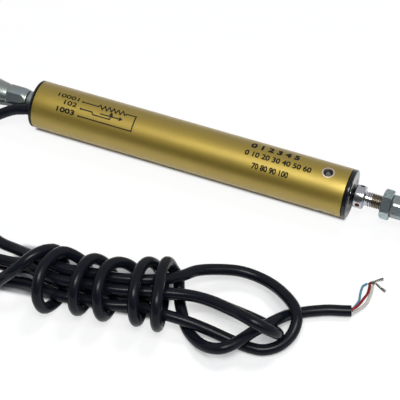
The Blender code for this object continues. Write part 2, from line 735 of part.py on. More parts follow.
def build_ball(name, frame, finish):
    """The ball with its through bore and flat faces."""
    radius = BALL_DIAMETER / 2
    half = BALL_WIDTH / 2
    limit = math.degrees(math.asin(half / radius))
    outer = arc(radius, limit, -limit, 10)
    ball = turned(name, finish, (*outer, (BALL_BORE / 2, -half), (BALL_BORE / 2, half)), 36)
    ball.matrix_world = frame


def build_rod_ends(steel, race_steel, ball_steel):
    """The rear rod end lies flat and the front one stands on edge."""
    rear = Matrix.Translation(axis_point(REAR_SHANK_FACE)) @ Matrix.Rotation(math.pi, 4, "Z")
    rod_end("rear", rear, steel, race_steel, ball_steel)
    front = Matrix.Translation(axis_point(FRONT_SHANK_FACE)) @ Matrix.Rotation(math.radians(90), 4, "X")
    rod_end("front", front, steel, race_steel, ball_steel)


def build_element(board, carbon, silver):
    """The element board, its two tracks and the three terminal pins."""
    board_start = REAR_SPIGOT_LENGTH - BOARD_IN_SLOT
    board_end = TUBE_LENGTH - FRONT_SPIGOT_LENGTH + BOARD_IN_SLOT
    low = axis_point(board_start, -BOARD_WIDTH / 2, -BOARD_DROP - BOARD_THICKNESS)
    block("element_board", board, low, axis_point(board_end, BOARD_WIDTH / 2, -BOARD_DROP))
    track_bottom = -BOARD_DROP + SEAT_GAP
    track_start = CARRIAGE_START - TRACK_OVERRUN
    track_end = CARRIAGE_END + STROKE + TRACK_OVERRUN
    for name, side, finish in (("resistive_track", -1, carbon), ("collector_track", 1, silver)):
        middle = side * TRACK_SPACING / 2
        low = axis_point(track_start, middle - TRACK_WIDTH / 2, track_bottom)
        high = axis_point(track_end, middle + TRACK_WIDTH / 2, track_bottom + TRACK_THICKNESS)
        block(name, finish, low, high)
    for number in range(3):
        pin = cylinder(f"terminal_pin_{number + 1}", silver, PIN_DIAMETER / 2, PIN_HEIGHT, 12)
        pin.location = pin_foot(number)


def pin_foot(number):
    """Where a terminal pin stands on the board."""
    along = REAR_SPIGOT_LENGTH + PIN_FROM_CAP + number * PIN_STAGGER
    return axis_point(along, (number - 1) * PIN_PITCH, -BOARD_DROP + SEAT_GAP)


def build_carriage(plastic, spring_metal):
    """The moulded wiper carriage, flat below, and the two spring wipers under it."""
    radius = BORE_RADIUS - RUN_GAP
    bore = SHAFT_BORE_RADIUS
    carriage = turned("wiper_carriage", plastic, ring_profile(radius, bore, 0.0, CARRIAGE_LENGTH, FLANGE_CHAMFER))
    along_axis(carriage, CARRIAGE_START)
    below = block(
        "carriage_flat", plastic,
        axis_point(CARRIAGE_START - CARRIAGE_LENGTH, -TUBE_DIAMETER, -TUBE_DIAMETER),
        axis_point(CARRIAGE_START + 2 * CARRIAGE_LENGTH, TUBE_DIAMETER, -CARRIAGE_DROP),
    )
    boolean(carriage, below, "DIFFERENCE")
    foot = -CARRIAGE_DROP - SEAT_GAP
    bend = WIPER_RISE - WIPER_LEAF
    course = ((-0.3, 0.0), (0.0, 0.0), (0.4, 0.35), (0.85, 1.0), (1.0, 0.8))
    lower = [(WIPER_REACH * x, -WIPER_LEAF - bend * drop) for x, drop in course]
    leaf = lower + [(x, y + WIPER_LEAF) for x, y in reversed(lower)]
    for name, side in (("track_wiper", -1), ("collector_wiper", 1)):
        wiper = extruded(name, spring_metal, leaf, WIPER_WIDTH)
        middle = side * TRACK_SPACING / 2
        wiper.location = axis_point(CARRIAGE_START + CARRIAGE_LENGTH / 2, middle, foot)
        wiper.rotation_euler = (math.radians(90), 0, 0)


def build_cable(jacket, cores, rubber):
    """The grommet, the inner leads and the cable outside the housing, with its bare end."""
    grommet = cylinder("cable_grommet", rubber, GROMMET_DIAMETER / 2, GROMMET_END - GROMMET_START, 16)
    grommet.location = cable_point(GROMMET_START)
    grommet.rotation_euler = (0, math.radians(90), 0)
    lead = [cable_point(-REAR_FLANGE + SEAT_GAP), cable_point(-REAR_FLANGE - CABLE_DIAMETER / 2), *LEAD_ROUTE]
    round_wire("cable_lead", jacket, smooth_route(lead, TUBE_POINT_SPACING), CABLE_DIAMETER)
    round_wire("cable_tail", jacket, smooth_route(TAIL_ROUTE, TUBE_POINT_SPACING / 2), CABLE_DIAMETER)
    inner_start = cable_point(GROMMET_END + SEAT_GAP)
    for number, (name, finish) in enumerate(cores.items()):
        offset = Vector((0, 0, (number - 1) * (CORE_DIAMETER + CORE_GAP)))
        top = pin_foot(number) + Vector((0, 0, PIN_HEIGHT + SEAT_GAP + CORE_DIAMETER / 2))
        start = inner_start + offset
        bend = start + Vector((GROMMET_INSET, 0, 0))
        route = (start, bend, top)
        round_wire(f"inner_lead_{name}", finish, smooth_route(route, CORE_DIAMETER), CORE_DIAMETER)
        round_wire(f"wire_{name}", finish, smooth_route(CORE_ROUTES[name], 2 * CORE_DIAMETER), CORE_DIAMETER)
        bare = smooth_route(STRAND_ROUTES[name], 2 * STRAND_DIAMETER)
        round_wire(f"strands_{name}", cores_bare(), bare, STRAND_DIAMETER)


def cores_bare():
    """The tinned copper of the bare strands."""
    return bpy.data.materials.get("tinned_copper") or material("tinned_copper", (0.55, 0.53, 0.52), 0.35, 1.0)


def build_hank(jacket):
    """The outer shapes of the wound cable: its wrapped middle and the flat loops at both sides."""
    start, end = Vector(WRAPS_FROM), Vector(WRAPS_TO)
    run = end - start
    radius = WRAPS_HEIGHT / 2
    half = WRAPS_FLAT / 2
    section = arc(radius, -90, 90, 12, (half, 0.0)) + arc(radius, 90, 270, 12, (-half, 0.0))
    wraps = extruded("hank_wraps", jacket, section, run.length)
    middle = (start + end) / 2
    heading = Matrix.Rotation(math.atan2(run.y, run.x), 4, "Z")
    upright = Matrix.Rotation(math.radians(90), 4, "Z") @ Matrix.Rotation(math.radians(90), 4, "X")
    wraps.matrix_world = Matrix.Translation((middle.x, middle.y, radius)) @ heading @ upright
    reach = run.length / 2 + SEAT_GAP
    for name, outline, height in (
        ("hank_right_loops", RIGHT_LOOPS_OUTLINE, RIGHT_LOOPS_HEIGHT),
        ("hank_left_loops", LEFT_LOOPS_OUTLINE, LEFT_LOOPS_HEIGHT),
    ):
        points = smooth_route([(x, y, 0.0) for x, y in outline], CABLE_DIAMETER, cyclic=True)
        loops = extruded(name, jacket, [(p.x, p.y) for p in points], height)
        loops.location = (0, 0, height / 2)
        clear = block(f"{name}_clearance", jacket, (-reach, -WRAPS_HEIGHT, -WRAPS_HEIGHT), (reach, WRAPS_HEIGHT, WRAPS_HEIGHT))
        clear.matrix_world = Matrix.Translation((middle.x, middle.y, height / 2)) @ heading
        boolean(loops, clear, "DIFFERENCE")


def main():
    clear_scene()
    gold = material("gold_anodised", (0.55, 0.42, 0.12), 0.32, 1.0)
    black = material("black_anodised", (0.02, 0.02, 0.025), 0.35, 0.4)
    steel = material("stainless_steel", (0.62, 0.62, 0.63), 0.18, 1.0)
    zinc = material("zinc_plate", (0.50, 0.54, 0.56), 0.32, 1.0)
    dark_steel = material("blackened_steel", (0.12, 0.12, 0.12), 0.35, 1.0)
    bronze = material("bearing_bronze", (0.60, 0.42, 0.22), 0.4, 1.0)
    rubber = material("black_rubber", (0.02, 0.02, 0.02), 0.7)
    jacket = material("cable_jacket", (0.012, 0.013, 0.015), 0.35)
    board = material("element_board", (0.10, 0.22, 0.12), 0.5)
    carbon = material("carbon_film", (0.03, 0.03, 0.03), 0.6)
    silver = material("silver_film", (0.75, 0.75, 0.72), 0.3, 1.0)
    plastic = material("carriage_plastic", (0.75, 0.73, 0.66), 0.45)
    cores = {
        "white": material("white_core", (0.75, 0.74, 0.70), 0.4),
        "red": material("red_core", (0.55, 0.06, 0.05), 0.4),
        "blue": material("blue_core", (0.15, 0.35, 0.55), 0.4),
    }
    build_tube(gold)
    build_front_cap(black)
    build_rear_cap(black)
    build_seals(rubber, bronze)
    build_cap_screws(dark_steel)
    build_rod(steel)
    build_nut_and_collar(zinc)
    build_rear_stud(zinc)
    build_rod_ends(zinc, dark_steel, steel)
    build_element(board, carbon, silver)
    build_carriage(plastic, bronze)
    build_cable(jacket, cores, rubber)
    build_hank(jacket)


if __name__ == "__main__":
    main()
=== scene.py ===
"""Looks of the linear potentiometer: its finishes, turned pieces, print and wound cable.

Lengths are in metres. X runs along the housing towards the rod and Z is up. The housing's axis
lies half the tube's diameter above the floor.
"""

from __future__ import annotations

import logging
import math
from dataclasses import dataclass, field
from enum import Enum
from typing import Iterable, Mapping, NamedTuple, Sequence

import bmesh
import bpy
from mathutils import Matrix, Vector


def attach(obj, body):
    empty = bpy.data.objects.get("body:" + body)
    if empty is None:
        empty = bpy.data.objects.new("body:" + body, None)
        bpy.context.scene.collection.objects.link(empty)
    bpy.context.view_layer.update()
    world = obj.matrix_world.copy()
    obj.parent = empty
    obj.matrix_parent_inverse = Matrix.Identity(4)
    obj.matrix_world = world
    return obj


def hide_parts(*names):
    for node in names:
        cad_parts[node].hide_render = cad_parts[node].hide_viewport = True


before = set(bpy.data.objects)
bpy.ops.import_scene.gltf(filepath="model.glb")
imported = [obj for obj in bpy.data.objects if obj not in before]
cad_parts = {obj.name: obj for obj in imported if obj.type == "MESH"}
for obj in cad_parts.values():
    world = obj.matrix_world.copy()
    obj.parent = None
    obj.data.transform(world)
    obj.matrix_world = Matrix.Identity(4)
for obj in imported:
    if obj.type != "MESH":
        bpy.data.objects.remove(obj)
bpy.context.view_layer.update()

Point = tuple[float, float, float]
Colour = tuple[float, float, float]
Span = tuple[float, float]
Profile = Sequence[tuple[float, float]]
Route = tuple[Point, ...]

AXIS_HEIGHT = 0.009
ROD_END_FACE = 0.0716
REAR_HEX_TURN = math.radians(12)
FRONT_HEX_TURN = math.radians(34)
FRONT_CHAMFER = 0.0007
OUTLET = (-0.0674, -0.00596, 0.01071)
DRAWN = (0.05, 1.0, 1.0)
NOISE_MIDDLE = 0.5
REPORT = logging.getLogger("potentiometer")


class Body(Enum):
    """The bodies that the pieces made here ride on."""

    HOUSING = "housing"
    ROD = "rod"
    FRONT_BALL = "front_ball"
    REAR_BALL = "rear_ball"


class Grain(Enum):
    """The direction of the marks that a finish's making leaves."""

    ALONG = "drawn along X"
    AROUND = "turned around X"
    CAST = "an even fine texture"


class Joining(Enum):
    """How one solid is combined with another."""

    UNION = "UNION"
    DIFFERENCE = "DIFFERENCE"
    INTERSECT = "INTERSECT"


class Band(NamedTuple):
    """A stretch of a value, with a fade outside both of its ends."""

    middle: float
    half: float
    fade: float


def toned(colour: Colour, start: float, gain: float) -> Colour:
    """A colour whose parts are start + gain times the given colour's, 1 at most."""
    return tuple(min(1.0, start + gain * part) for part in colour)


class Signal:
    """A node's output that takes part in plain arithmetic."""

    def __init__(self, graph: Graph, socket: bpy.types.NodeSocket) -> None:
        """Keeps the graph and the output socket."""
        self.graph = graph
        self.socket = socket

    def _math(self, operation: str, *terms: Signal | float) -> Signal:
        """A Math node on these terms.

        Args:
            operation: the Math node's operation.
            terms: its inputs in order.

        Returns:
            The result.
        """
        return self.graph.add("ShaderNodeMath", {"operation": operation}, dict(enumerate(terms)))[0]

    def __add__(self, other: Signal | float) -> Signal:
        """self + other."""
        return self._math("ADD", self, other)

    def __radd__(self, other: float) -> Signal:
        """other + self."""
        return self._math("ADD", other, self)

    def __sub__(self, other: Signal | float) -> Signal:
        """self - other."""
        return self._math("SUBTRACT", self, other)

    def __rsub__(self, other: float) -> Signal:
        """other - self."""
        return self._math("SUBTRACT", other, self)

    def __mul__(self, other: Signal | float) -> Signal:
        """self * other."""
        return self._math("MULTIPLY", self, other)

    def __rmul__(self, other: float) -> Signal:
        """other * self."""
        return self._math("MULTIPLY", other, self)

    def __pow__(self, other: float) -> Signal:
        """self ** other."""
        return self._math("POWER", self, other)

    def larger(self, other: Signal | float) -> Signal:
        """The larger of the two."""
        return self._math("MAXIMUM", self, other)


@dataclass(frozen=True)
class Placed:
    """A node in a graph, whose outputs are read by index or name."""

    graph: Graph
    node: bpy.types.Node

    def __getitem__(self, key: int | str) -> Signal:
        """The output of that index or name."""
        return Signal(self.graph, self.node.outputs[key])


class Graph:
    """A node tree that finishes are written in."""

    def __init__(self, tree: bpy.types.NodeTree) -> None:
        """Empties the tree and keeps it."""
        self.tree = tree
        tree.nodes.clear()

    def add(
        self,
        kind: str,
        settings: Mapping[str, object] | None = None,
        inputs: Mapping[int | str, object] | None = None,
    ) -> Placed:
        """Adds any node.

        Args:
            kind: the node's type.
            settings: its own settings, set first.
            inputs: values or signals by socket index or name.

        Returns:
            The node in its graph.
        """
        node = self.tree.nodes.new(kind)
        for key, value in (settings or {}).items():
            setattr(node, key, value)
        for key, value in (inputs or {}).items():
            socket = node.inputs[key]
            if isinstance(value, Signal):
                self.tree.links.new(value.socket, socket)
            elif isinstance(value, tuple) and socket.type == "RGBA":
                socket.default_value = (*value, 1.0)
            else:
                socket.default_value = value
        return Placed(self, node)

    def point(self) -> Signal:
        """The place on the piece in its own space, which is the part's frame."""
        return self.add("ShaderNodeTexCoord")["Object"]

    def scaled(self, vector: Signal, by: Point) -> Signal:
        """The vector times another, part by part."""
        return self.add("ShaderNodeVectorMath", {"operation": "MULTIPLY"}, {0: vector, 1: by})[0]

    def split(self, vector: Signal) -> tuple[Signal, Signal, Signal]:
        """The vector's three parts."""
        parts = self.add("ShaderNodeSeparateXYZ", inputs={0: vector})
        return parts[0], parts[1], parts[2]

    def joined(self, x: Signal | float, y: Signal | float, z: Signal | float) -> Signal:
        """A vector from three parts."""
        return self.add("ShaderNodeCombineXYZ", inputs={0: x, 1: y, 2: z})[0]

    def noise(self, vector: Signal, scale: float, detail: float = 2.0, rough: float = 0.5) -> Signal:
        """Noise from 0 to 1.

        Args:
            vector: where it is read.
            scale: features per unit of the vector.
            detail: octaves.
            rough: how much the finer octaves count.

        Returns:
            The noise.
        """
        values = {"Vector": vector, "Scale": scale, "Detail": detail, "Roughness": rough}
        return self.add("ShaderNodeTexNoise", inputs=values)[0]

    def eased(self, value: Signal, low: float, high: float) -> Signal:
        """0 below low, 1 above high and a smooth step between."""
        values = {"Value": value, "From Min": low, "From Max": high}
        return self.add("ShaderNodeMapRange", {"interpolation_type": "SMOOTHSTEP"}, values)[0]

    def within(self, value: Signal, band: Band) -> Signal:
        """1 inside a band of the value, falling to 0 over its fade."""
        offset = value - band.middle
        return 1.0 - self.eased(offset * offset, band.half**2, (band.half + band.fade) ** 2)

    def mix(self, share: Signal | float, first: Signal | Colour, second: Signal | Colour) -> Signal:
        """A colour between two.

        Args:
            share: how much of the second shows.
            first: a colour or a signal.
            second: a colour or a signal.

        Returns:
            The mixed colour.
        """
        return self.add("ShaderNodeMix", {"data_type": "RGBA"}, {0: share, 6: first, 7: second})[2]

    def bump(self, height: Signal, depth: float, under: Signal | None = None) -> Signal:
        """A normal pushed about by a height from 0 to 1.

        Args:
            height: the height signal.
            depth: metres that 1 stands for.
            under: a coarser bump that this one lies on.

        Returns:
            The normal.
        """
        values: dict[int | str, object] = {"Height": height, "Distance": depth}
        if under is not None:
            values["Normal"] = under
        return self.add("ShaderNodeBump", inputs=values)["Normal"]

    def radius(self) -> Signal:
        """The distance from the housing's axis."""
        _, across, up = self.split(self.point())
        above = up - AXIS_HEIGHT
        return (across * across + above * above) ** 0.5

    @staticmethod
    def gloss(middle: float, drift: float, *noises: Signal) -> Signal:
        """A roughness that each noise moves up and down from its middle."""
        found = middle
        for noise in noises:
            found = found + (noise - NOISE_MIDDLE) * drift
        return found

    def shade(self, **values: object) -> Placed:
        """A Principled shader; a name's underscores stand for spaces."""
        inputs = {name.replace("_", " "): value for name, value in values.items()}
        return self.add("ShaderNodeBsdfPrincipled", inputs=inputs)

    def surface(self, shader: Signal) -> None:
        """Ends a material in this shader."""
        self.add("ShaderNodeOutputMaterial", inputs={"Surface": shader})

    def plain_surface(self, **values: object) -> None:
        """Ends a material in one Principled shader with these inputs."""
        self.surface(self.shade(**values)[0])


@dataclass(frozen=True)
class Finish:
    """A material recipe."""

    name: str
    slot: str | None = None

    def material(self) -> bpy.types.Material:
        """The finished material, made at its first use.

        Returns:
            The material.
        """
        found = bpy.data.materials.get(f"{self.name}_finish")
        if found is None:
            found = bpy.data.materials.new(f"{self.name}_finish")
            found.use_nodes = True
            self.paint(Graph(found.node_tree))
        return found

    def paint(self, graph: Graph) -> None:
        """Writes the nodes; each kind of finish has its own."""
        raise NotImplementedError

    def dress(self, obj: bpy.types.Object) -> None:
        """Gives an object this finish."""
        obj.data.materials.clear()
        obj.data.materials.append(self.material())


@dataclass(frozen=True)
class Metal(Finish):
    """Anodised, plated, ground or polished metal, with a different colour in a stretch of its hollows if one
    is given.
    """

    colour: Colour = (0.6, 0.6, 0.6)
    drift: Colour = (0.5, 0.5, 0.5)
    patches: float = 120.0
    patch_span: Span = (0.38, 0.66)
    drift_share: float = 0.5
    streak_share: float = 0.16
    streak_tone: float = 0.55
    roughness: float = 0.3
    roughness_drift: float = 0.1
    least_roughness: float = 0.05
    grain: Grain = Grain.CAST
    fineness: float = 3000.0
    depth: float = 0.000003
    metallic: float = 1.0
    specular: float = 0.5
    edge_share: float = 0.35
    edge_span: Span = (0.52, 0.62)
    edge_patches: float = 900.0
    edge_tone: Span = (0.25, 1.15)
    coat: float = 0.0
    coat_roughness: float = 0.2
    hollow_colour: Colour | None = None
    hollow_from: float = 0.0577
    hollow_to: float = 0.0605
    hollow_radius: float = 0.0041
    hollow_fade: float = 0.0006
    hollow_rim: float = 0.0002

    def marks(self, graph: Graph) -> Signal:
        """The making marks as a height from 0 to 1.

        Args:
            graph: the finish's graph.

        Returns:
            The height.
        """
        point = graph.point()
        if self.grain is Grain.CAST:
            return graph.noise(point, self.fineness, detail=4.0, rough=0.65)
        if self.grain is Grain.ALONG:
            return graph.noise(graph.scaled(point, DRAWN), self.fineness, detail=3.0, rough=0.6)
        along, _, _ = graph.split(point)
        return graph.noise(graph.joined(along, graph.radius(), 0.0), self.fineness, detail=3.0, rough=0.6)

    def in_hollow(self, graph: Graph) -> Signal:
        """Where the hollow colour lies: a stretch along the axis, out to its radius."""
        along, _, _ = graph.split(graph.point())
        outside = graph.eased(graph.radius(), self.hollow_radius - self.hollow_rim, self.hollow_radius)
        begun = graph.eased(along, self.hollow_from, self.hollow_from + self.hollow_fade)
        ended = graph.eased(along, self.hollow_to - self.hollow_rim, self.hollow_to)
        return (1.0 - outside) * begun * (1.0 - ended)

    def paint(self, graph: Graph) -> None:
        """Colour that drifts in patches, brighter worn edges, and marks in gloss and relief."""
        point = graph.point()
        marks = self.marks(graph)
        patches = graph.noise(point, self.patches, detail=3.0, rough=0.55)
        body = graph.mix(graph.eased(patches, *self.patch_span) * self.drift_share, self.colour, self.drift)
        streaked = graph.mix(marks * self.streak_share, body, toned(self.colour, 0.0, self.streak_tone))
        pointed = graph.add("ShaderNodeNewGeometry")["Pointiness"]
        worn = graph.eased(pointed, *self.edge_span) * graph.noise(point, self.edge_patches) * self.edge_share
        colour = graph.mix(worn, streaked, toned(self.colour, *self.edge_tone))
        # The hollow colour: painted shade, near-black, in a thread's roots; orange-brown inside the boss's
        # drilled holes.
        if self.hollow_colour is not None:
            colour = graph.mix(self.in_hollow(graph), colour, self.hollow_colour)
        gloss = graph.gloss(self.roughness, self.roughness_drift, marks, patches)
        graph.plain_surface(
            Base_Color=colour,
            Metallic=self.metallic,
            Roughness=gloss.larger(self.least_roughness),
            Specular_IOR_Level=self.specular,
            Coat_Weight=self.coat,
            Coat_Roughness=self.coat_roughness,
            Normal=graph.bump(marks, self.depth),
        )


@dataclass(frozen=True)
class Plastic(Finish):
    """Moulded or extruded plastic, rubber, film and insulation."""

    colour: Colour = (0.5, 0.5, 0.5)
    drift: Colour = (0.4, 0.4, 0.4)
    patches: float = 300.0
    patch_span: Span = (0.4, 0.7)
    drift_share: float = 0.4
    roughness: float = 0.4
    roughness_drift: float = 0.12
    fineness: float = 2500.0
    wave_fineness: float = 0.12
    depth: float = 0.000006
    wave_depth: float = 3.0
    stretch: Point = (1.0, 1.0, 1.0)
    specular: float = 0.5
    dust_span: Span = (0.66, 0.74)
    dust_share: float = 0.10
    dust_tone: Span = (0.05, 0.9)

    def paint(self, graph: Graph) -> None:
        """Colour with faint patches and dust, and a fine skin in gloss and relief."""
        point = graph.point()
        stretched = graph.scaled(point, self.stretch)
        skin = graph.noise(stretched, self.fineness, detail=3.0, rough=0.6)
        waves = graph.noise(stretched, self.fineness * self.wave_fineness)
        patches = graph.noise(point, self.patches, detail=3.0, rough=0.6)
        body = graph.mix(graph.eased(patches, *self.patch_span) * self.drift_share, self.colour, self.drift)
        dust = graph.eased(skin, *self.dust_span) * self.dust_share
        graph.plain_surface(
            Base_Color=graph.mix(dust, body, toned(self.colour, *self.dust_tone)),
            Roughness=graph.gloss(self.roughness, self.roughness_drift, patches, skin),
            Specular_IOR_Level=self.specular,
            Normal=graph.bump(skin, self.depth, graph.bump(waves, self.wave_depth * self.depth)),
        )


@dataclass(frozen=True)
class Laminate(Finish):
    """Glass-fibre board: a weave under green resin."""

    colour: Colour = (0.06, 0.17, 0.09)
    thread: Colour = (0.13, 0.27, 0.14)
    thread_share: float = 0.7
    fineness: float = 2600.0
    roughness: float = 0.35
    roughness_drift: float = 0.1
    depth: float = 0.000008

    def paint(self, graph: Graph) -> None:
        """Two crossed sets of threads and a glossy resin skin."""
        x, y, _ = graph.split(graph.point())
        sine = {"operation": "SINE"}
        warp, weft = (graph.add("ShaderNodeMath", sine, {0: way * self.fineness})[0] for way in (x, y))
        weave = 0.5 + warp * weft * 0.5
        graph.plain_surface(
            Base_Color=graph.mix(weave * self.thread_share, self.colour, self.thread),
            Roughness=self.roughness + weave * self.roughness_drift,
            Normal=graph.bump(weave, self.depth),
        )


@dataclass(frozen=True)
class Ink(Finish):
    """Screened black ink, thin at places."""

    colour: Colour = (0.012, 0.010, 0.008)
    under: Colour = (0.30, 0.23, 0.06)
    fineness: float = 7000.0
    speck_span: Span = (0.56, 0.72)
    speck_share: float = 0.3
    roughness: float = 0.6
    roughness_drift: float = 0.2
    specular: float = 0.2
    depth: float = 0.000004

    def paint(self, graph: Graph) -> None:
        """Ink that lets a little of the gold through in specks."""
        noise = graph.noise(graph.point(), self.fineness, detail=3.0, rough=0.7)
        specks = graph.eased(noise, *self.speck_span)
        graph.plain_surface(
            Base_Color=graph.mix(specks * self.speck_share, self.colour, self.under),
            Roughness=self.roughness + specks * self.roughness_drift,
            Specular_IOR_Level=self.specular,
            Normal=graph.bump(specks, self.depth),
        )


@dataclass(frozen=True)
class PaleFloor(Finish):
    """The floor: white to the camera, with the object's soft shadow kept."""

    colour: Colour = (0.94, 0.945, 0.95)
    cloud: Colour = (0.91, 0.92, 0.935)
    cloud_share: float = 0.15
    cloud_scale: float = 3.0
    roughness: float = 0.9
    near_tube: float = 0.88
    left_share: float = 0.70
    right_share: float = 0.34
    left_to_right: Span = (0.012, 0.030)
    cable_to_tube: Span = (-0.050, -0.032)
    glossy_share: float = 0.04
    tube_across: Band = Band(0.003, 0.0076, 0.0014)
    tube_along: Band = Band(-0.0054, 0.0610, 0.0015)
    hank_across: Band = Band(-0.0615, 0.0100, 0.002)
    hank_along: Band = Band(-0.018, 0.027, 0.004)
    hank_slope: float = 0.15
    # Painted shade: the floor's colour behind the hank's middle, and how much of it shows.
    painted_hank_shade: Colour = (0.10, 0.10, 0.11)
    painted_shade_share: float = 0.6

    def paint(self, graph: Graph) -> None:
        """Part plain diffuse floor, part flat white for camera, glossy and transmission rays.

        Under the tube and behind the hank's middle only the diffuse floor shows; behind the hank its colour
        is darkened too, a painted shade between the hank's turns.
        """
        point = graph.point()
        along, across, _ = graph.split(point)
        under_tube = graph.within(across, self.tube_across) * graph.within(along, self.tube_along)
        sloped = across - along * self.hank_slope
        in_hank = graph.within(sloped, self.hank_across) * graph.within(along, self.hank_along)
        rightwards = graph.eased(along, *self.left_to_right)
        cable_share = self.left_share + rightwards * (self.right_share - self.left_share)
        share = cable_share + graph.eased(across, *self.cable_to_tube) * (self.near_tube - cable_share)
        share = share * (1.0 - under_tube) * (1.0 - in_hank)
        clear = graph.mix(graph.noise(point, self.cloud_scale) * self.cloud_share, self.colour, self.cloud)
        # Painted shade: the floor's colour is darkened behind the hank's middle.
        with_painted_shade = graph.mix(in_hank * self.painted_shade_share, clear, self.painted_hank_shade)
        plain = graph.shade(Base_Color=with_painted_shade, Roughness=self.roughness)
        white = graph.add("ShaderNodeEmission", inputs={"Color": (1.0, 1.0, 1.0), "Strength": 1.0})
        rays = graph.add("ShaderNodeLightPath")
        seen = rays["Is Camera Ray"].larger(rays["Is Transmission Ray"])
        flat = (seen * share).larger(rays["Is Glossy Ray"] * self.glossy_share)
        graph.surface(graph.add("ShaderNodeMixShader", inputs={0: flat, 1: plain[0], 2: white[0]})[0])


GOLD = Metal(
    "gold_anodised", "gold_anodised", colour=(0.392, 0.284, 0.037), drift=(0.362, 0.252, 0.041), patches=70.0,
    roughness=0.50, roughness_drift=0.05, grain=Grain.AROUND, fineness=3500.0, depth=0.0000025,
    edge_share=0.2, coat=1.0, coat_roughness=0.40,
)
BLACK = Metal(
    "black_anodised", "black_anodised", colour=(0.004, 0.0045, 0.0065), drift=(0.007, 0.0075, 0.010),
    patches=300.0, roughness=0.11, roughness_drift=0.06, grain=Grain.AROUND, fineness=4500.0,
    depth=0.0000008, metallic=0.0, specular=0.4, edge_share=0.1,
)
# Its hollow colour is the orange-brown inside the boss's drilled holes.
STEEL = Metal(
    "polished_steel", "stainless_steel", colour=(0.52, 0.535, 0.58), drift=(0.44, 0.43, 0.43), patches=500.0,
    drift_share=0.4, roughness=0.13, roughness_drift=0.08, grain=Grain.AROUND, fineness=6000.0,
    depth=0.000002, hollow_colour=(0.42, 0.225, 0.085),
)
# The thread's roots are painted near-black: painted shade in its grooves.
THREADED = Metal(
    "thread_steel", "stainless_steel", colour=(0.27, 0.235, 0.19), drift=(0.20, 0.16, 0.11), patches=900.0,
    fineness=6000.0, depth=0.000002, hollow_colour=(0.035, 0.030, 0.028), hollow_from=0.0600, hollow_to=0.0900,
    hollow_radius=0.00245,
)
ZINC = Metal(
    "zinc_plate", "zinc_plate", colour=(0.33, 0.39, 0.425), drift=(0.31, 0.31, 0.25), patches=260.0,
    drift_share=0.6, roughness=0.32, roughness_drift=0.28, grain=Grain.ALONG, fineness=1200.0, depth=0.000016,
)
NUT_PLATE = Metal(
    "nut_plate", "zinc_plate", colour=(0.44, 0.53, 0.55), drift=(0.24, 0.29, 0.30), patches=900.0,
    drift_share=0.8, roughness=0.19, roughness_drift=0.20, fineness=1500.0, depth=0.000020,
)
BARE = Metal(
    "bare_edge", "stainless_steel", colour=(0.80, 0.72, 0.60), drift=(0.62, 0.54, 0.42), patches=900.0,
    roughness=0.36, fineness=5000.0, depth=0.000002,
)
SCREW = Metal(
    "screw_steel", "blackened_steel", colour=(0.21, 0.20, 0.195), drift=(0.15, 0.14, 0.13), patches=900.0,
    roughness=0.34, fineness=4500.0, depth=0.000004,
)
DARK_STEEL = Metal(
    "blackened_steel", "blackened_steel", colour=(0.11, 0.11, 0.115), drift=(0.19, 0.18, 0.17), patches=700.0,
    roughness=0.36, fineness=3500.0, depth=0.000005,
)
BRONZE = Metal(
    "bearing_bronze", "bearing_bronze", colour=(0.58, 0.40, 0.20), drift=(0.45, 0.29, 0.14), patches=600.0,
    roughness=0.36, fineness=5000.0, depth=0.000004,
)
SILVER = Metal(
    "silver_film", "silver_film", colour=(0.74, 0.74, 0.71), drift=(0.60, 0.59, 0.55), patches=900.0,
    grain=Grain.ALONG, fineness=6000.0, depth=0.000002,
)
TINNED = Metal(
    "tinned_copper", "tinned_copper", colour=(0.20, 0.20, 0.19), drift=(0.17, 0.15, 0.12), patches=1800.0,
    drift_share=0.55, roughness=0.40, fineness=7000.0, depth=0.000004,
)
RUBBER = Plastic(
    "black_rubber", "black_rubber", colour=(0.018, 0.018, 0.019), drift=(0.03, 0.03, 0.03), roughness=0.62,
    fineness=5000.0,
)
JACKET = Plastic(
    "cable_jacket", "cable_jacket", colour=(0.0045, 0.0058, 0.0095), drift=(0.008, 0.010, 0.016),
    patches=220.0, roughness=0.20, roughness_drift=0.08, fineness=2600.0, depth=0.000005, specular=0.14,
)
CARBON = Plastic(
    "carbon_film", "carbon_film", colour=(0.028, 0.028, 0.030), drift=(0.04, 0.04, 0.04), roughness=0.5,
    fineness=6000.0, stretch=DRAWN,
)
ACETAL = Plastic(
    "natural_acetal", "carriage_plastic", colour=(0.72, 0.70, 0.62), drift=(0.66, 0.63, 0.54), roughness=0.42,
    fineness=1800.0,
)
CORE_COLOURS = {
    "white": ((0.47, 0.475, 0.44), (0.38, 0.39, 0.35), 0.5),
    "red": ((0.200, 0.004, 0.008), (0.150, 0.004, 0.007), 0.22),
    "blue": ((0.085, 0.23, 0.34), (0.065, 0.18, 0.29), 0.22),
}
CORES = {
    name: Plastic(f"{name}_core", f"{name}_core", colour=colour, drift=drift, roughness=0.36, specular=shine)
    for name, (colour, drift, shine) in CORE_COLOURS.items()
}
BOARD = Laminate("element_board", "element_board")
INK = Ink("print_ink")
FLOOR = PaleFloor("pale_floor")


def axis_point(along: float, across: float = 0.0, above: float = 0.0) -> Vector:
    """A point by its X and its offsets from the housing's axis."""
    return Vector((along, across, AXIS_HEIGHT + above))


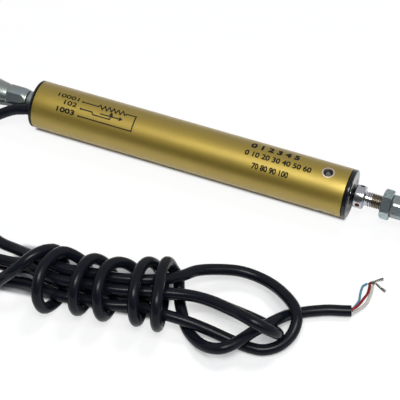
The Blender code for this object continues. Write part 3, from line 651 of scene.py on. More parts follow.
class Bench:
    """Makes, cuts, rounds and hands over meshes.

    Points nearer to each other than weld are merged. A corner that turns by more than straight, in radians,
    is rounded in corner_steps and takes up to longest_reach of each side. A wire's ends bulge by dome radii.
    """

    weld = 1e-7
    tiny = 1e-9
    straight = 0.2
    longest_reach = 0.45
    corner_steps = 3
    dome = 0.25

    @staticmethod
    def shown(name: str, data: bpy.types.ID) -> bpy.types.Object:
        """Puts mesh, curve, camera or lamp data in the scene as an object."""
        obj = bpy.data.objects.new(name, data)
        bpy.context.scene.collection.objects.link(obj)
        return obj

    @classmethod
    def from_bmesh(cls, name: str, shape: bmesh.types.BMesh, sharp: float = 32.0) -> bpy.types.Object:
        """Turns a bmesh into a smooth-shaded object.

        Args:
            name: the object's name.
            shape: the bmesh, which is freed.
            sharp: degrees above which an edge stays sharp.

        Returns:
            The object.
        """
        bmesh.ops.remove_doubles(shape, verts=shape.verts, dist=cls.weld)
        bmesh.ops.recalc_face_normals(shape, faces=shape.faces)
        cls.soften(shape, sharp)
        mesh = bpy.data.meshes.new(name)
        shape.to_mesh(mesh)
        shape.free()
        return cls.shown(name, mesh)

    @staticmethod
    def soften(shape: bmesh.types.BMesh, sharp: float) -> None:
        """Shades faces smooth and keeps edges over that many degrees sharp."""
        limit = math.radians(sharp)
        for face in shape.faces:
            face.smooth = True
        for edge in shape.edges:
            edge.smooth = len(edge.link_faces) == 2 and edge.calc_face_angle(0.0) < limit

    @classmethod
    def resoften(cls, obj: bpy.types.Object, sharp: float = 32.0) -> None:
        """Shades an object smooth again after a cut."""
        shape = bmesh.new()
        shape.from_mesh(obj.data)
        bmesh.ops.remove_doubles(shape, verts=shape.verts, dist=cls.weld)
        cls.soften(shape, sharp)
        shape.to_mesh(obj.data)
        shape.free()

    @staticmethod
    def skin(
        shape: bmesh.types.BMesh, rings: Sequence[Sequence[bmesh.types.BMVert]], closed: bool = True
    ) -> None:
        """Adds faces between neighbouring rows of vertices.

        Args:
            shape: the bmesh.
            rings: the rows, each with as many vertices.
            closed: whether each row closes on itself.
        """
        count = len(rings[0])
        for first, second in zip(rings, rings[1:]):
            for i in range(count if closed else count - 1):
                j = (i + 1) % count
                shape.faces.new((first[i], first[j], second[j], second[i]))

    @classmethod
    def rounded(cls, profile: Profile, radius: float, closed: bool) -> list[tuple[float, float]]:
        """A profile with its corners rounded.

        Args:
            profile: (along, radius) points.
            radius: the corner radius, less where the sides are short.
            closed: whether the last point joins the first.

        Returns:
            The profile with three more points at each corner.
        """
        points = [Vector(p) for p in profile]
        count = len(points)
        found: list[Vector] = []
        for index, corner in enumerate(points):
            before, after = points[index - 1] - corner, points[(index + 1) % count] - corner
            at_end = not closed and index in (0, count - 1)
            doubled = min(before.length, after.length) < cls.tiny
            if at_end or doubled or before.angle(-after, 0.0) < cls.straight:
                found.append(corner)
                continue
            reach = min(radius, cls.longest_reach * before.length, cls.longest_reach * after.length)
            start, end = corner + before.normalized() * reach, corner + after.normalized() * reach
            for step in range(cls.corner_steps + 1):
                t = step / cls.corner_steps
                found.append(start * (1 - t) ** 2 + corner * 2 * t * (1 - t) + end * t * t)
        return [tuple(p) for p in found]

    @classmethod
    def turned(
        cls,
        name: str,
        profile: Profile,
        place: Matrix | None = None,
        steps: int = 128,
        closed: bool = True,
        corner: float = 0.00012,
    ) -> bpy.types.Object:
        """A body turned about its own X.

        Args:
            name: the object's name.
            profile: (along, radius) points of half the section.
            place: where its own frame lies; the housing's axis if left out.
            steps: sides of the turning.
            closed: a ring's section, else one that starts and ends on the axis.
            corner: radius of its rounded corners.

        Returns:
            The object.
        """
        place = place or Matrix.Translation(axis_point(0.0))
        section = cls.rounded(profile, corner, closed)
        shape = bmesh.new()
        rings = []
        for step in range(steps):
            angle = 2 * math.pi * step / steps
            c, s = math.cos(angle), math.sin(angle)
            rings.append([shape.verts.new(place @ Vector((x, r * c, r * s))) for x, r in section])
        cls.skin(shape, rings + rings[:1], closed)
        return cls.from_bmesh(name, shape)

    @classmethod
    def cutter(
        cls, name: str, profile: Profile, place: Matrix | None = None, steps: int = 48
    ) -> bpy.types.Object:
        """A body turned about its own X with plain corners, mostly for a cut."""
        return cls.turned(name, profile, place, steps, closed=False, corner=0.0)

    @classmethod
    def bar(
        cls, name: str, start: float, end: float, radius: float, place: Matrix | None = None, steps: int = 48
    ) -> bpy.types.Object:
        """A plain round bar along its own X from start to end."""
        return cls.cutter(name, [(start, 0.0), (start, radius), (end, radius), (end, 0.0)], place, steps)

    @classmethod
    def prism(
        cls, name: str, across_flats: float, start: float, end: float, place: Matrix
    ) -> bpy.types.Object:
        """A six-sided bar about its own X from start to end."""
        shape = bmesh.new()
        turn = Matrix.Translation(((start + end) / 2, 0, 0)) @ Matrix.Rotation(math.pi / 2, 4, "Y")
        radius = across_flats / math.sqrt(3)
        bmesh.ops.create_cone(
            shape, cap_ends=True, segments=6, radius1=radius, radius2=radius, depth=end - start,
            matrix=place @ turn,
        )
        return cls.from_bmesh(name, shape)

    @classmethod
    def lofted(
        cls, name: str, sections: Sequence[tuple[float, float, float]], place: Matrix, sides: int = 64
    ) -> bpy.types.Object:
        """A body along its own X through ellipses (place, half width in Y, half height in Z)."""
        shape = bmesh.new()
        turns = [(math.cos(a), math.sin(a)) for a in (2 * math.pi * i / sides for i in range(sides))]
        rings = [
            [shape.verts.new(place @ Vector((along, wide * c, high * s))) for c, s in turns]
            for along, wide, high in sections
        ]
        cls.skin(shape, rings)
        shape.faces.new(rings[0])
        shape.faces.new(rings[-1])
        return cls.from_bmesh(name, shape)

    @staticmethod
    def apply(obj: bpy.types.Object) -> None:
        """Applies an object's modifiers."""
        depsgraph = bpy.context.evaluated_depsgraph_get()
        mesh = bpy.data.meshes.new_from_object(obj.evaluated_get(depsgraph), depsgraph=depsgraph)
        old = obj.data
        obj.modifiers.clear()
        obj.data = mesh
        bpy.data.meshes.remove(old)
        mesh.name = obj.name

    @classmethod
    def combine(cls, obj: bpy.types.Object, other: bpy.types.Object, how: Joining) -> None:
        """Joins, cuts or intersects obj with another object, which is used up."""
        modifier = obj.modifiers.new("combine", "BOOLEAN")
        modifier.operation = how.value
        modifier.solver = "EXACT"
        modifier.object = other
        cls.apply(obj)
        bpy.data.objects.remove(other)

    @classmethod
    def bevel(cls, obj: bpy.types.Object, width: float, degrees: float = 25.0) -> None:
        """Rounds an object's sharper edges."""
        modifier = obj.modifiers.new("bevel", "BEVEL")
        modifier.width = width
        modifier.segments = 2
        modifier.limit_method = "ANGLE"
        modifier.angle_limit = math.radians(degrees)
        cls.apply(obj)

    @classmethod
    def wire(cls, name: str, points: Iterable[Vector], radius: float, sides: int = 12) -> bpy.types.Object:
        """A round bar along points, with domed ends."""
        course = [Vector(p) for p in points]
        ways = tangents(course)
        angles = [2 * math.pi * k / sides for k in range(sides)]
        shape = bmesh.new()
        normal = Vector((0, 0, 1))
        rings = []
        for at, way in zip(course, ways):
            normal = (normal - way * normal.dot(way)).normalized()
            side = way.cross(normal)
            around = [at + radius * (normal * math.cos(a) + side * math.sin(a)) for a in angles]
            rings.append([shape.verts.new(point) for point in around])
        cls.skin(shape, rings)
        for ring, at, way in ((rings[0], course[0], -ways[0]), (rings[-1], course[-1], ways[-1])):
            tip = shape.verts.new(at + way * radius * cls.dome)
            for i in range(sides):
                shape.faces.new((ring[i], ring[(i + 1) % sides], tip))
        return cls.from_bmesh(name, shape, sharp=50.0)

    @staticmethod
    def hand_over(obj: bpy.types.Object, finish: Finish, body: Body, *nodes: str) -> bpy.types.Object:
        """Finishes a piece, rides it on its body and hides the CAD nodes that it stands for.

        Args:
            obj: the piece.
            finish: its finish.
            body: the body that carries it.
            nodes: the CAD nodes that it replaces.

        Returns:
            The piece.
        """
        finish.dress(obj)
        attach(obj, body.value)
        if nodes:
            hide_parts(*nodes)
        REPORT.info("%s: %s on %s", obj.name, finish.name, body.value)
        return obj


def tangents(course: Sequence[Vector]) -> list[Vector]:
    """The direction of a course at each of its points."""
    pairs = zip([course[0], *course], [*course[1:], course[-1]])
    return [(after - before).normalized() for before, after in pairs]


def smooth_route(points: Sequence[Point | Vector], spacing: float) -> list[Vector]:
    """Points along a smooth curve through the points given.

    Args:
        points: the route's own points.
        spacing: about how far apart the points returned are.

    Returns:
        Points on a centripetal curve.
    """
    knots = [Vector(p) for p in points]
    knots = [2 * knots[0] - knots[1], *knots, 2 * knots[-1] - knots[-2]]
    found = [knots[1]]
    for before, start, end, after in zip(knots, knots[1:], knots[2:], knots[3:]):
        first = math.sqrt((start - before).length)
        second = first + math.sqrt((end - start).length)
        third = second + math.sqrt((after - end).length)
        count = max(1, round((end - start).length / spacing))
        for step in range(1, count + 1):
            t = first + (second - first) * step / count
            low = before.lerp(start, t / first)
            middle = start.lerp(end, (t - first) / (second - first))
            high = end.lerp(after, (t - second) / (third - second))
            left = low.lerp(middle, t / second)
            right = middle.lerp(high, (t - first) / (third - first))
            found.append(left.lerp(right, (t - first) / (second - first)))
    return found


@dataclass(frozen=True)
class Panel:
    """A soft rectangular lamp."""

    name: str
    at: Point
    wide: float
    high: float
    watts: float
    colour: Colour
    mirrored: bool = True


@dataclass
class Studio:
    """Camera, floor, world and lamps."""

    camera_at: Point = (0.1308, -0.3367, 0.4021)
    looks_at: Point = (0.00704, -0.02247, 0.009)
    lens: float = 130.6
    sensor: float = 36.0
    floor_half: float = 3.0
    floor_drop: float = 0.00005
    ambient: float = 0.22
    ambient_tint: Colour = (0.72, 0.79, 1.0)
    dark_front: float = 0.10
    pale_back: float = 0.60
    front_to_back: Span = (-0.9, -0.1)
    lamps_aim_at: Point = (0.0, -0.03, 0.01)
    panels: tuple[Panel, ...] = (
        Panel("top_panel", (0.165, -0.39, 0.93), 0.42, 0.28, 4.7, (1.0, 0.99, 0.95)),
        Panel("wide_panel", (0.36, -0.40, 1.10), 1.00, 0.76, 5.7, (1.0, 0.995, 0.965)),
        Panel("far_lamp", (0.12, 0.46, 1.10), 0.22, 0.22, 3.6, (1.0, 0.985, 0.94), mirrored=False),
    )

    def build(self) -> None:
        """Sets up the whole studio."""
        self._camera()
        self._floor()
        self._world()
        for panel in self.panels:
            self._lamp(panel)
        bpy.context.scene.view_settings.view_transform = "Standard"
        REPORT.info("studio ready")

    @staticmethod
    def _aim(obj: bpy.types.Object, at: Point, target: Point) -> None:
        """Places an object and points its -Z at a target."""
        obj.location = at
        obj.rotation_euler = (Vector(target) - Vector(at)).to_track_quat("-Z", "Y").to_euler()

    def _camera(self) -> None:
        """The photograph's viewpoint."""
        data = bpy.data.cameras.new("camera")
        data.lens = self.lens
        data.sensor_width = self.sensor
        data.clip_start, data.clip_end = 0.01, 20.0
        camera = Bench.shown("camera", data)
        self._aim(camera, self.camera_at, self.looks_at)
        bpy.context.scene.camera = camera

    def _floor(self) -> None:
        """A wide pale floor just under the object."""
        shape = bmesh.new()
        bmesh.ops.create_grid(shape, x_segments=8, y_segments=8, size=self.floor_half)
        floor = Bench.from_bmesh("floor", shape)
        floor.location = (0, 0, -self.floor_drop)
        FLOOR.dress(floor)

    def _world(self) -> None:
        """White to the camera, pale behind and darker in front in reflections, and even light otherwise."""
        world = bpy.data.worlds.new("world")
        bpy.context.scene.world = world
        world.use_nodes = True
        graph = Graph(world.node_tree)
        rays = graph.add("ShaderNodeLightPath")
        _, across, _ = graph.split(graph.add("ShaderNodeTexCoord")["Generated"])
        room = self.dark_front + graph.eased(across, *self.front_to_back) * (self.pale_back - self.dark_front)
        white = rays["Is Camera Ray"].larger(rays["Is Transmission Ray"])
        strength = self.ambient + white * (1.0 - self.ambient) + rays["Is Glossy Ray"] * (room - self.ambient)
        tint = graph.mix(white.larger(rays["Is Glossy Ray"]), self.ambient_tint, (1.0, 1.0, 1.0))
        sky = graph.add("ShaderNodeBackground", inputs={"Color": tint, "Strength": strength})
        graph.add("ShaderNodeOutputWorld", inputs={"Surface": sky[0]})

    def _lamp(self, panel: Panel) -> None:
        """A lamp aimed at the object."""
        data = bpy.data.lights.new(panel.name, "AREA")
        data.shape = "RECTANGLE"
        data.size, data.size_y = panel.wide, panel.high
        data.energy = panel.watts
        data.color = panel.colour
        lamp = Bench.shown(panel.name, data)
        lamp.visible_glossy = panel.mirrored
        self._aim(lamp, panel.at, self.lamps_aim_at)


class Turn(NamedTuple):
    """A turn round the hank: its place, half its width, its slant, and how far left its top lies."""

    along: float
    across: float
    half: float
    slant: float
    top: float


@dataclass
class WoundCable:
    """The cable from the rear cap through the hank to its bare end, in one length."""

    diameter: float = 0.004
    length: float = 1.2
    spacing: float = 0.0015
    wrap_radius: float = 0.0084
    wrap_height: float = 0.0104
    wrap_flatness: float = 1.6
    steps_per_turn: int = 16
    turns_begin: Span = (0.55, 0.66)
    wound_from: float = 1.5
    wound_to: float = 5.5
    outlet: Route = (OUTLET, (-0.0697, -0.00596, 0.01071))
    lead: Route = (
        (-0.0706, -0.0063, 0.0106), (-0.0736, -0.0068, 0.0099), (-0.0766, -0.0075, 0.0085),
        (-0.0806, -0.0088, 0.0062), (-0.0856, -0.0120, 0.0038), (-0.0916, -0.0170, 0.0024),
        (-0.0976, -0.0250, 0.0020), (-0.1006, -0.0350, 0.0020), (-0.1000, -0.0455, 0.0020),
        (-0.0966, -0.0540, 0.0020), (-0.0902, -0.0614, 0.0020),
    )
    under_strand: Route = (
        (-0.0835, -0.0652, 0.0020), (-0.0745, -0.0680, 0.0020), (-0.0625, -0.0700, 0.0020),
        (-0.0525, -0.0703, 0.0020), (-0.0445, -0.0700, 0.0028), (-0.0375, -0.0700, 0.0049),
        (-0.0305, -0.0724, 0.0067), (-0.0225, -0.0729, 0.0067), (-0.0145, -0.0713, 0.0067),
        (-0.0055, -0.0702, 0.0067), (0.0035, -0.0675, 0.0067), (0.0147, -0.0625, 0.0062),
        (0.0190, -0.0602, 0.0046), (0.0244, -0.0583, 0.0026), (0.0316, -0.0586, 0.0020),
    )
    right_fold: Route = (
        (0.0467, -0.0607, 0.0016), (0.0502, -0.0628, 0.0032), (0.0519, -0.0654, 0.0062),
        (0.0515, -0.0678, 0.0098), (0.0490, -0.0695, 0.0129), (0.0451, -0.0699, 0.0148),
        (0.0409, -0.0690, 0.0150),
    )
    back_strand: Route = (
        (0.0359, -0.0670, 0.0134), (0.0270, -0.0650, 0.0120), (0.0202, -0.0651, 0.0116),
        (0.0055, -0.0689, 0.0114), (-0.0055, -0.0722, 0.0114), (-0.0145, -0.0733, 0.0114),
        (-0.0225, -0.0749, 0.0114), (-0.0305, -0.0744, 0.0114), (-0.0375, -0.0719, 0.0094),
        (-0.0445, -0.0708, 0.0064), (-0.0525, -0.0716, 0.0060),
    )
    left_loop: Route = (
        (-0.0625, -0.0755, 0.0050), (-0.0735, -0.0795, 0.0026), (-0.0835, -0.0775, 0.0026),
        (-0.0885, -0.0690, 0.0050), (-0.0855, -0.0600, 0.0060), (-0.0755, -0.0560, 0.0045),
        (-0.0635, -0.0585, 0.0040), (-0.0525, -0.0630, 0.0046), (-0.0452, -0.0650, 0.0065),
        (-0.0375, -0.0680, 0.0102),
    )
    right_loop: Route = (
        (-0.0305, -0.0707, 0.0131), (-0.0225, -0.0712, 0.0131), (-0.0145, -0.0696, 0.0131),
        (-0.0055, -0.0685, 0.0131), (0.0035, -0.0658, 0.0131), (0.0095, -0.0626, 0.0124),
        (0.0145, -0.0574, 0.0106), (0.0177, -0.0524, 0.0088), (0.0244, -0.0477, 0.0070),
        (0.0317, -0.0446, 0.0054), (0.0403, -0.0449, 0.0048), (0.0480, -0.0489, 0.0062),
        (0.0538, -0.0537, 0.0066), (0.0559, -0.0577, 0.0056), (0.0557, -0.0624, 0.0036),
        (0.0528, -0.0677, 0.0024), (0.0483, -0.0707, 0.0020), (0.0439, -0.0713, 0.0020),
    )
    front_strand: Route = (
        (0.0376, -0.0711, 0.0024), (0.0295, -0.0713, 0.0044), (0.0214, -0.0720, 0.0065),
        (0.0145, -0.0726, 0.0072), (0.0035, -0.0731, 0.0072), (-0.0055, -0.0758, 0.0072),
        (-0.0145, -0.0769, 0.0072), (-0.0225, -0.0785, 0.0072), (-0.0295, -0.0770, 0.0060),
        (-0.0365, -0.0754, 0.0036), (-0.0439, -0.0758, 0.0020), (-0.0535, -0.0786, 0.0020),
    )
    far_loop: Route = (
        (-0.0655, -0.0825, 0.0020), (-0.0730, -0.0910, 0.0020), (-0.0720, -0.1010, 0.0020),
        (-0.0635, -0.1070, 0.0020), (-0.0540, -0.1045, 0.0020), (-0.0493, -0.0960, 0.0026),
        (-0.0475, -0.0870, 0.0044),
    )
    rise: Route = (
        (-0.0451, -0.0814, 0.0066), (-0.0381, -0.0785, 0.0144), (-0.0343, -0.0739, 0.0174),
        (-0.0321, -0.0705, 0.0175), (-0.0305, -0.0677, 0.0161), (-0.0290, -0.0653, 0.0137),
    )
    first_turn: Route = (
        (-0.0239, -0.0745, 0.0020), (-0.0247, -0.0799, 0.0027), (-0.0258, -0.0838, 0.0052),
        (-0.0269, -0.0850, 0.0108), (-0.0276, -0.0829, 0.0156), (-0.0281, -0.0785, 0.0182),
        (-0.0276, -0.0736, 0.0186), (-0.0266, -0.0692, 0.0175), (-0.0250, -0.0661, 0.0154),
    )
    turns: tuple[Turn, ...] = (
        Turn(-0.0325, -0.0734, 0.0096, -0.10, 0.0), Turn(-0.0251, -0.0752, 0.0102, -0.10, 0.0),
        Turn(-0.0146, -0.0729, 0.0094, 0.00, 0.0012), Turn(-0.0058, -0.0719, 0.0094, 0.03, 0.0026),
        Turn(0.0044, -0.0688, 0.0102, 0.16, 0.0016), Turn(0.0108, -0.0671, 0.0114, 0.24, 0.0005),
        Turn(0.0150, -0.0666, 0.0110, 0.24, 0.0),
    )
    leaving: Route = (
        (0.0121, -0.0556, 0.0064), (0.0133, -0.0580, 0.0032), (0.0155, -0.0627, 0.0020),
        (0.0180, -0.0667, 0.0020), (0.0215, -0.0716, 0.0020), (0.0272, -0.0761, 0.0030),
        (0.0321, -0.0781, 0.0048), (0.0362, -0.0780, 0.0062), (0.0392, -0.0756, 0.0066),
        (0.0418, -0.0716, 0.0066), (0.0444, -0.0675, 0.0068), (0.0472, -0.0642, 0.0072),
        (0.0496, -0.0591, 0.0052), (0.0521, -0.0542, 0.0028),
    )
    tail: Route = (
        (0.0563, -0.0508, 0.0020), (0.0600, -0.0487, 0.0020), (0.0640, -0.0468, 0.0020),
        (0.0680, -0.0455, 0.0020), (0.0711, -0.0444, 0.0020),
    )

    def turn_point(self, turn: float) -> Point:
        """A point on the wrapped middle, which passes from one turn's row to the next behind the hank.

        Args:
            turn: how many turns have been wound; a whole number is at the front.

        Returns:
            The point on the cable's centre line.
        """
        quarter = 0.25
        number = int(math.floor(turn + quarter))
        behind = max(0.0, 2 * (turn + quarter - number) - 1)
        share = behind * behind * (3 - 2 * behind)
        last = len(self.turns) - 1
        pair = zip(self.turns[min(number, last)], self.turns[min(number + 1, last)])
        here = Turn(*(a + (b - a) * share for a, b in pair))
        angle = math.pi - 2 * math.pi * turn
        along = here.along - here.top * (0.5 + 0.5 * math.sin(angle)) ** 2
        flat = (here.half - self.wrap_radius) * max(-1.0, min(1.0, self.wrap_flatness * math.cos(angle)))
        out = math.cos(angle) * self.wrap_radius + flat
        above = self.wrap_height + self.wrap_radius * math.sin(angle)
        return along - out * here.slant, here.across + out, above

    def course(self) -> list[Vector]:
        """The cable's whole centre line, resting on the floor where it is lowest.

        Returns:
            Points about one spacing apart.
        """
        steps = round((self.wound_to - self.wound_from) * self.steps_per_turn)
        knots = [
            *self.outlet, *self.lead, *self.under_strand, *self.right_fold, *self.back_strand,
            *self.left_loop, *self.right_loop, *self.front_strand, *self.far_loop, *self.rise,
            *(self.turn_point(turn) for turn in self.turns_begin), *self.first_turn,
            *(self.turn_point(self.wound_from + step / self.steps_per_turn) for step in range(steps + 1)),
            *self.leaving, *self.tail,
        ]
        rest = self.diameter / 2
        return [Vector((p.x, p.y, max(p.z, rest))) for p in smooth_route(knots, self.spacing)]

    def build(self, with_pieces: Sequence[bpy.types.Object]) -> bpy.types.Object:
        """Args:
            with_pieces: the wires and strands at its bare end; not used.

        Returns:
            The cable.
        """
        course = self.course()
        curve = bpy.data.curves.new("cable", "CURVE")
        curve.dimensions = "3D"
        curve.bevel_depth = self.diameter / 2
        curve.bevel_resolution = 5
        curve.use_fill_caps = True
        spline = curve.splines.new("POLY")
        spline.points.add(len(course) - 1)
        for point, at in zip(spline.points, course):
            point.co = (*at, 1.0)
        cable = Bench.shown("cable", curve)
        Bench.hand_over(
            cable, JACKET, Body.HOUSING, "cable_lead", "hank_wraps", "hank_right_loops", "hank_left_loops",
            "cable_tail",
        )
        return cable


@dataclass(frozen=True)
class Core:
    """One insulated core and the route of the strands that show beyond it."""

    colour: str
    diameter: float
    insulated: Route
    bare: Route


@dataclass
class BareEnd:
    """The three cores and their twisted bare strands."""

    sunk: float = 0.0012
    strand_diameter: float = 0.0009
    strands: int = 7
    twist: float = 0.28
    tight: float = 0.5
    frayed: float = 0.9
    cores: tuple[Core, ...] = (
        Core(
            "red", 0.00095,
            (
                (0.0713, -0.0440, 0.0026), (0.0723, -0.0429, 0.0029), (0.0731, -0.0408, 0.0029),
                (0.0736, -0.0383, 0.0026), (0.0741, -0.0357, 0.0022), (0.0740, -0.0334, 0.0019),
                (0.0737, -0.0314, 0.0017), (0.0735, -0.0303, 0.0016),
            ),
            (
                (0.0735, -0.0301, 0.0016), (0.0740, -0.0297, 0.0017), (0.0747, -0.0292, 0.0017),
                (0.0757, -0.0280, 0.0014), (0.0771, -0.0264, 0.0009),
            ),
        ),
        Core(
            "blue", 0.00085,
            (
                (0.0712, -0.0432, 0.0015), (0.0718, -0.0410, 0.0014), (0.0722, -0.0387, 0.0013),
                (0.0718, -0.0363, 0.0012), (0.0715, -0.0338, 0.0011), (0.0716, -0.0320, 0.0011),
                (0.0725, -0.0306, 0.0010),
            ),
            (
                (0.0731, -0.0302, 0.0009), (0.0735, -0.0298, 0.0008), (0.0741, -0.0293, 0.0007),
                (0.0747, -0.0289, 0.0006),
            ),
        ),
        Core(
            "white", 0.0012,
            (
                (0.0715, -0.0449, 0.0015), (0.0728, -0.0431, 0.0013), (0.0741, -0.0409, 0.0012),
                (0.0749, -0.0387, 0.0012), (0.0751, -0.0363, 0.0012), (0.0750, -0.0338, 0.0012),
                (0.0747, -0.0318, 0.0010), (0.0746, -0.0309, 0.0009),
            ),
            (
                (0.0747, -0.0304, 0.0010), (0.0749, -0.0298, 0.0012), (0.0752, -0.0294, 0.0012),
                (0.0762, -0.0298, 0.0010), (0.0777, -0.0305, 0.0008), (0.0793, -0.0312, 0.0008),
            ),
        ),
    )

    def build(self) -> list[bpy.types.Object]:
        """Makes every core and its strands.

        Returns:
            The pieces.
        """
        made = []
        for core in self.cores:
            first, second = Vector(core.insulated[0]), Vector(core.insulated[1])
            inside = first - (second - first).normalized() * self.sunk
            route = smooth_route([inside, *core.insulated], spacing=0.0004)
            wire = Bench.wire(f"core_{core.colour}", route, core.diameter / 2, sides=20)
            made.append(Bench.hand_over(wire, CORES[core.colour], Body.HOUSING, f"wire_{core.colour}"))
            made.append(self._twist(core))
        return made

    def _twist(self, core: Core) -> bpy.types.Object:
        """Strands laid round each other from the end of a core's insulation, wider apart at their tips.

        Args:
            core: the core they come from.

        Returns:
            The strands as one piece.
        """
        course = smooth_route([Vector(core.insulated[-1]), *core.bare], spacing=0.00012)
        ways = tangents(course)
        thin = self.strand_diameter / 6
        meshes = []
        for number in range(self.strands):
            phase = 2 * math.pi * number / (self.strands - 1)
            offset = 0.0 if number == self.strands - 1 else 2 * thin
            points = []
            for index, (at, way) in enumerate(zip(course, ways)):
                side = way.cross(Vector((0, 0, 1))).normalized()
                over = side.cross(way)
                angle = phase + index * self.twist
                spread = offset * (self.tight + self.frayed * (index / len(course)) ** 1.5)
                points.append(at + spread * (side * math.cos(angle) + over * math.sin(angle)))
            meshes.append(Bench.wire(f"strand_{core.colour}_{number}", points, thin, sides=6))
        bare = join(meshes, f"bare_{core.colour}")
        return Bench.hand_over(bare, TINNED, Body.HOUSING, f"strands_{core.colour}")


def join(objects: Sequence[bpy.types.Object], name: str) -> bpy.types.Object:
    """Puts several meshes into one object.

    Args:
        objects: the objects, which are used up.
        name: the new object's name.

    Returns:
        The new object.
    """
    shape = bmesh.new()
    for obj in objects:
        shape.from_mesh(obj.data)
        bpy.data.objects.remove(obj)
    mesh = bpy.data.meshes.new(name)
    shape.to_mesh(mesh)
    shape.free()
    return Bench.shown(name, mesh)


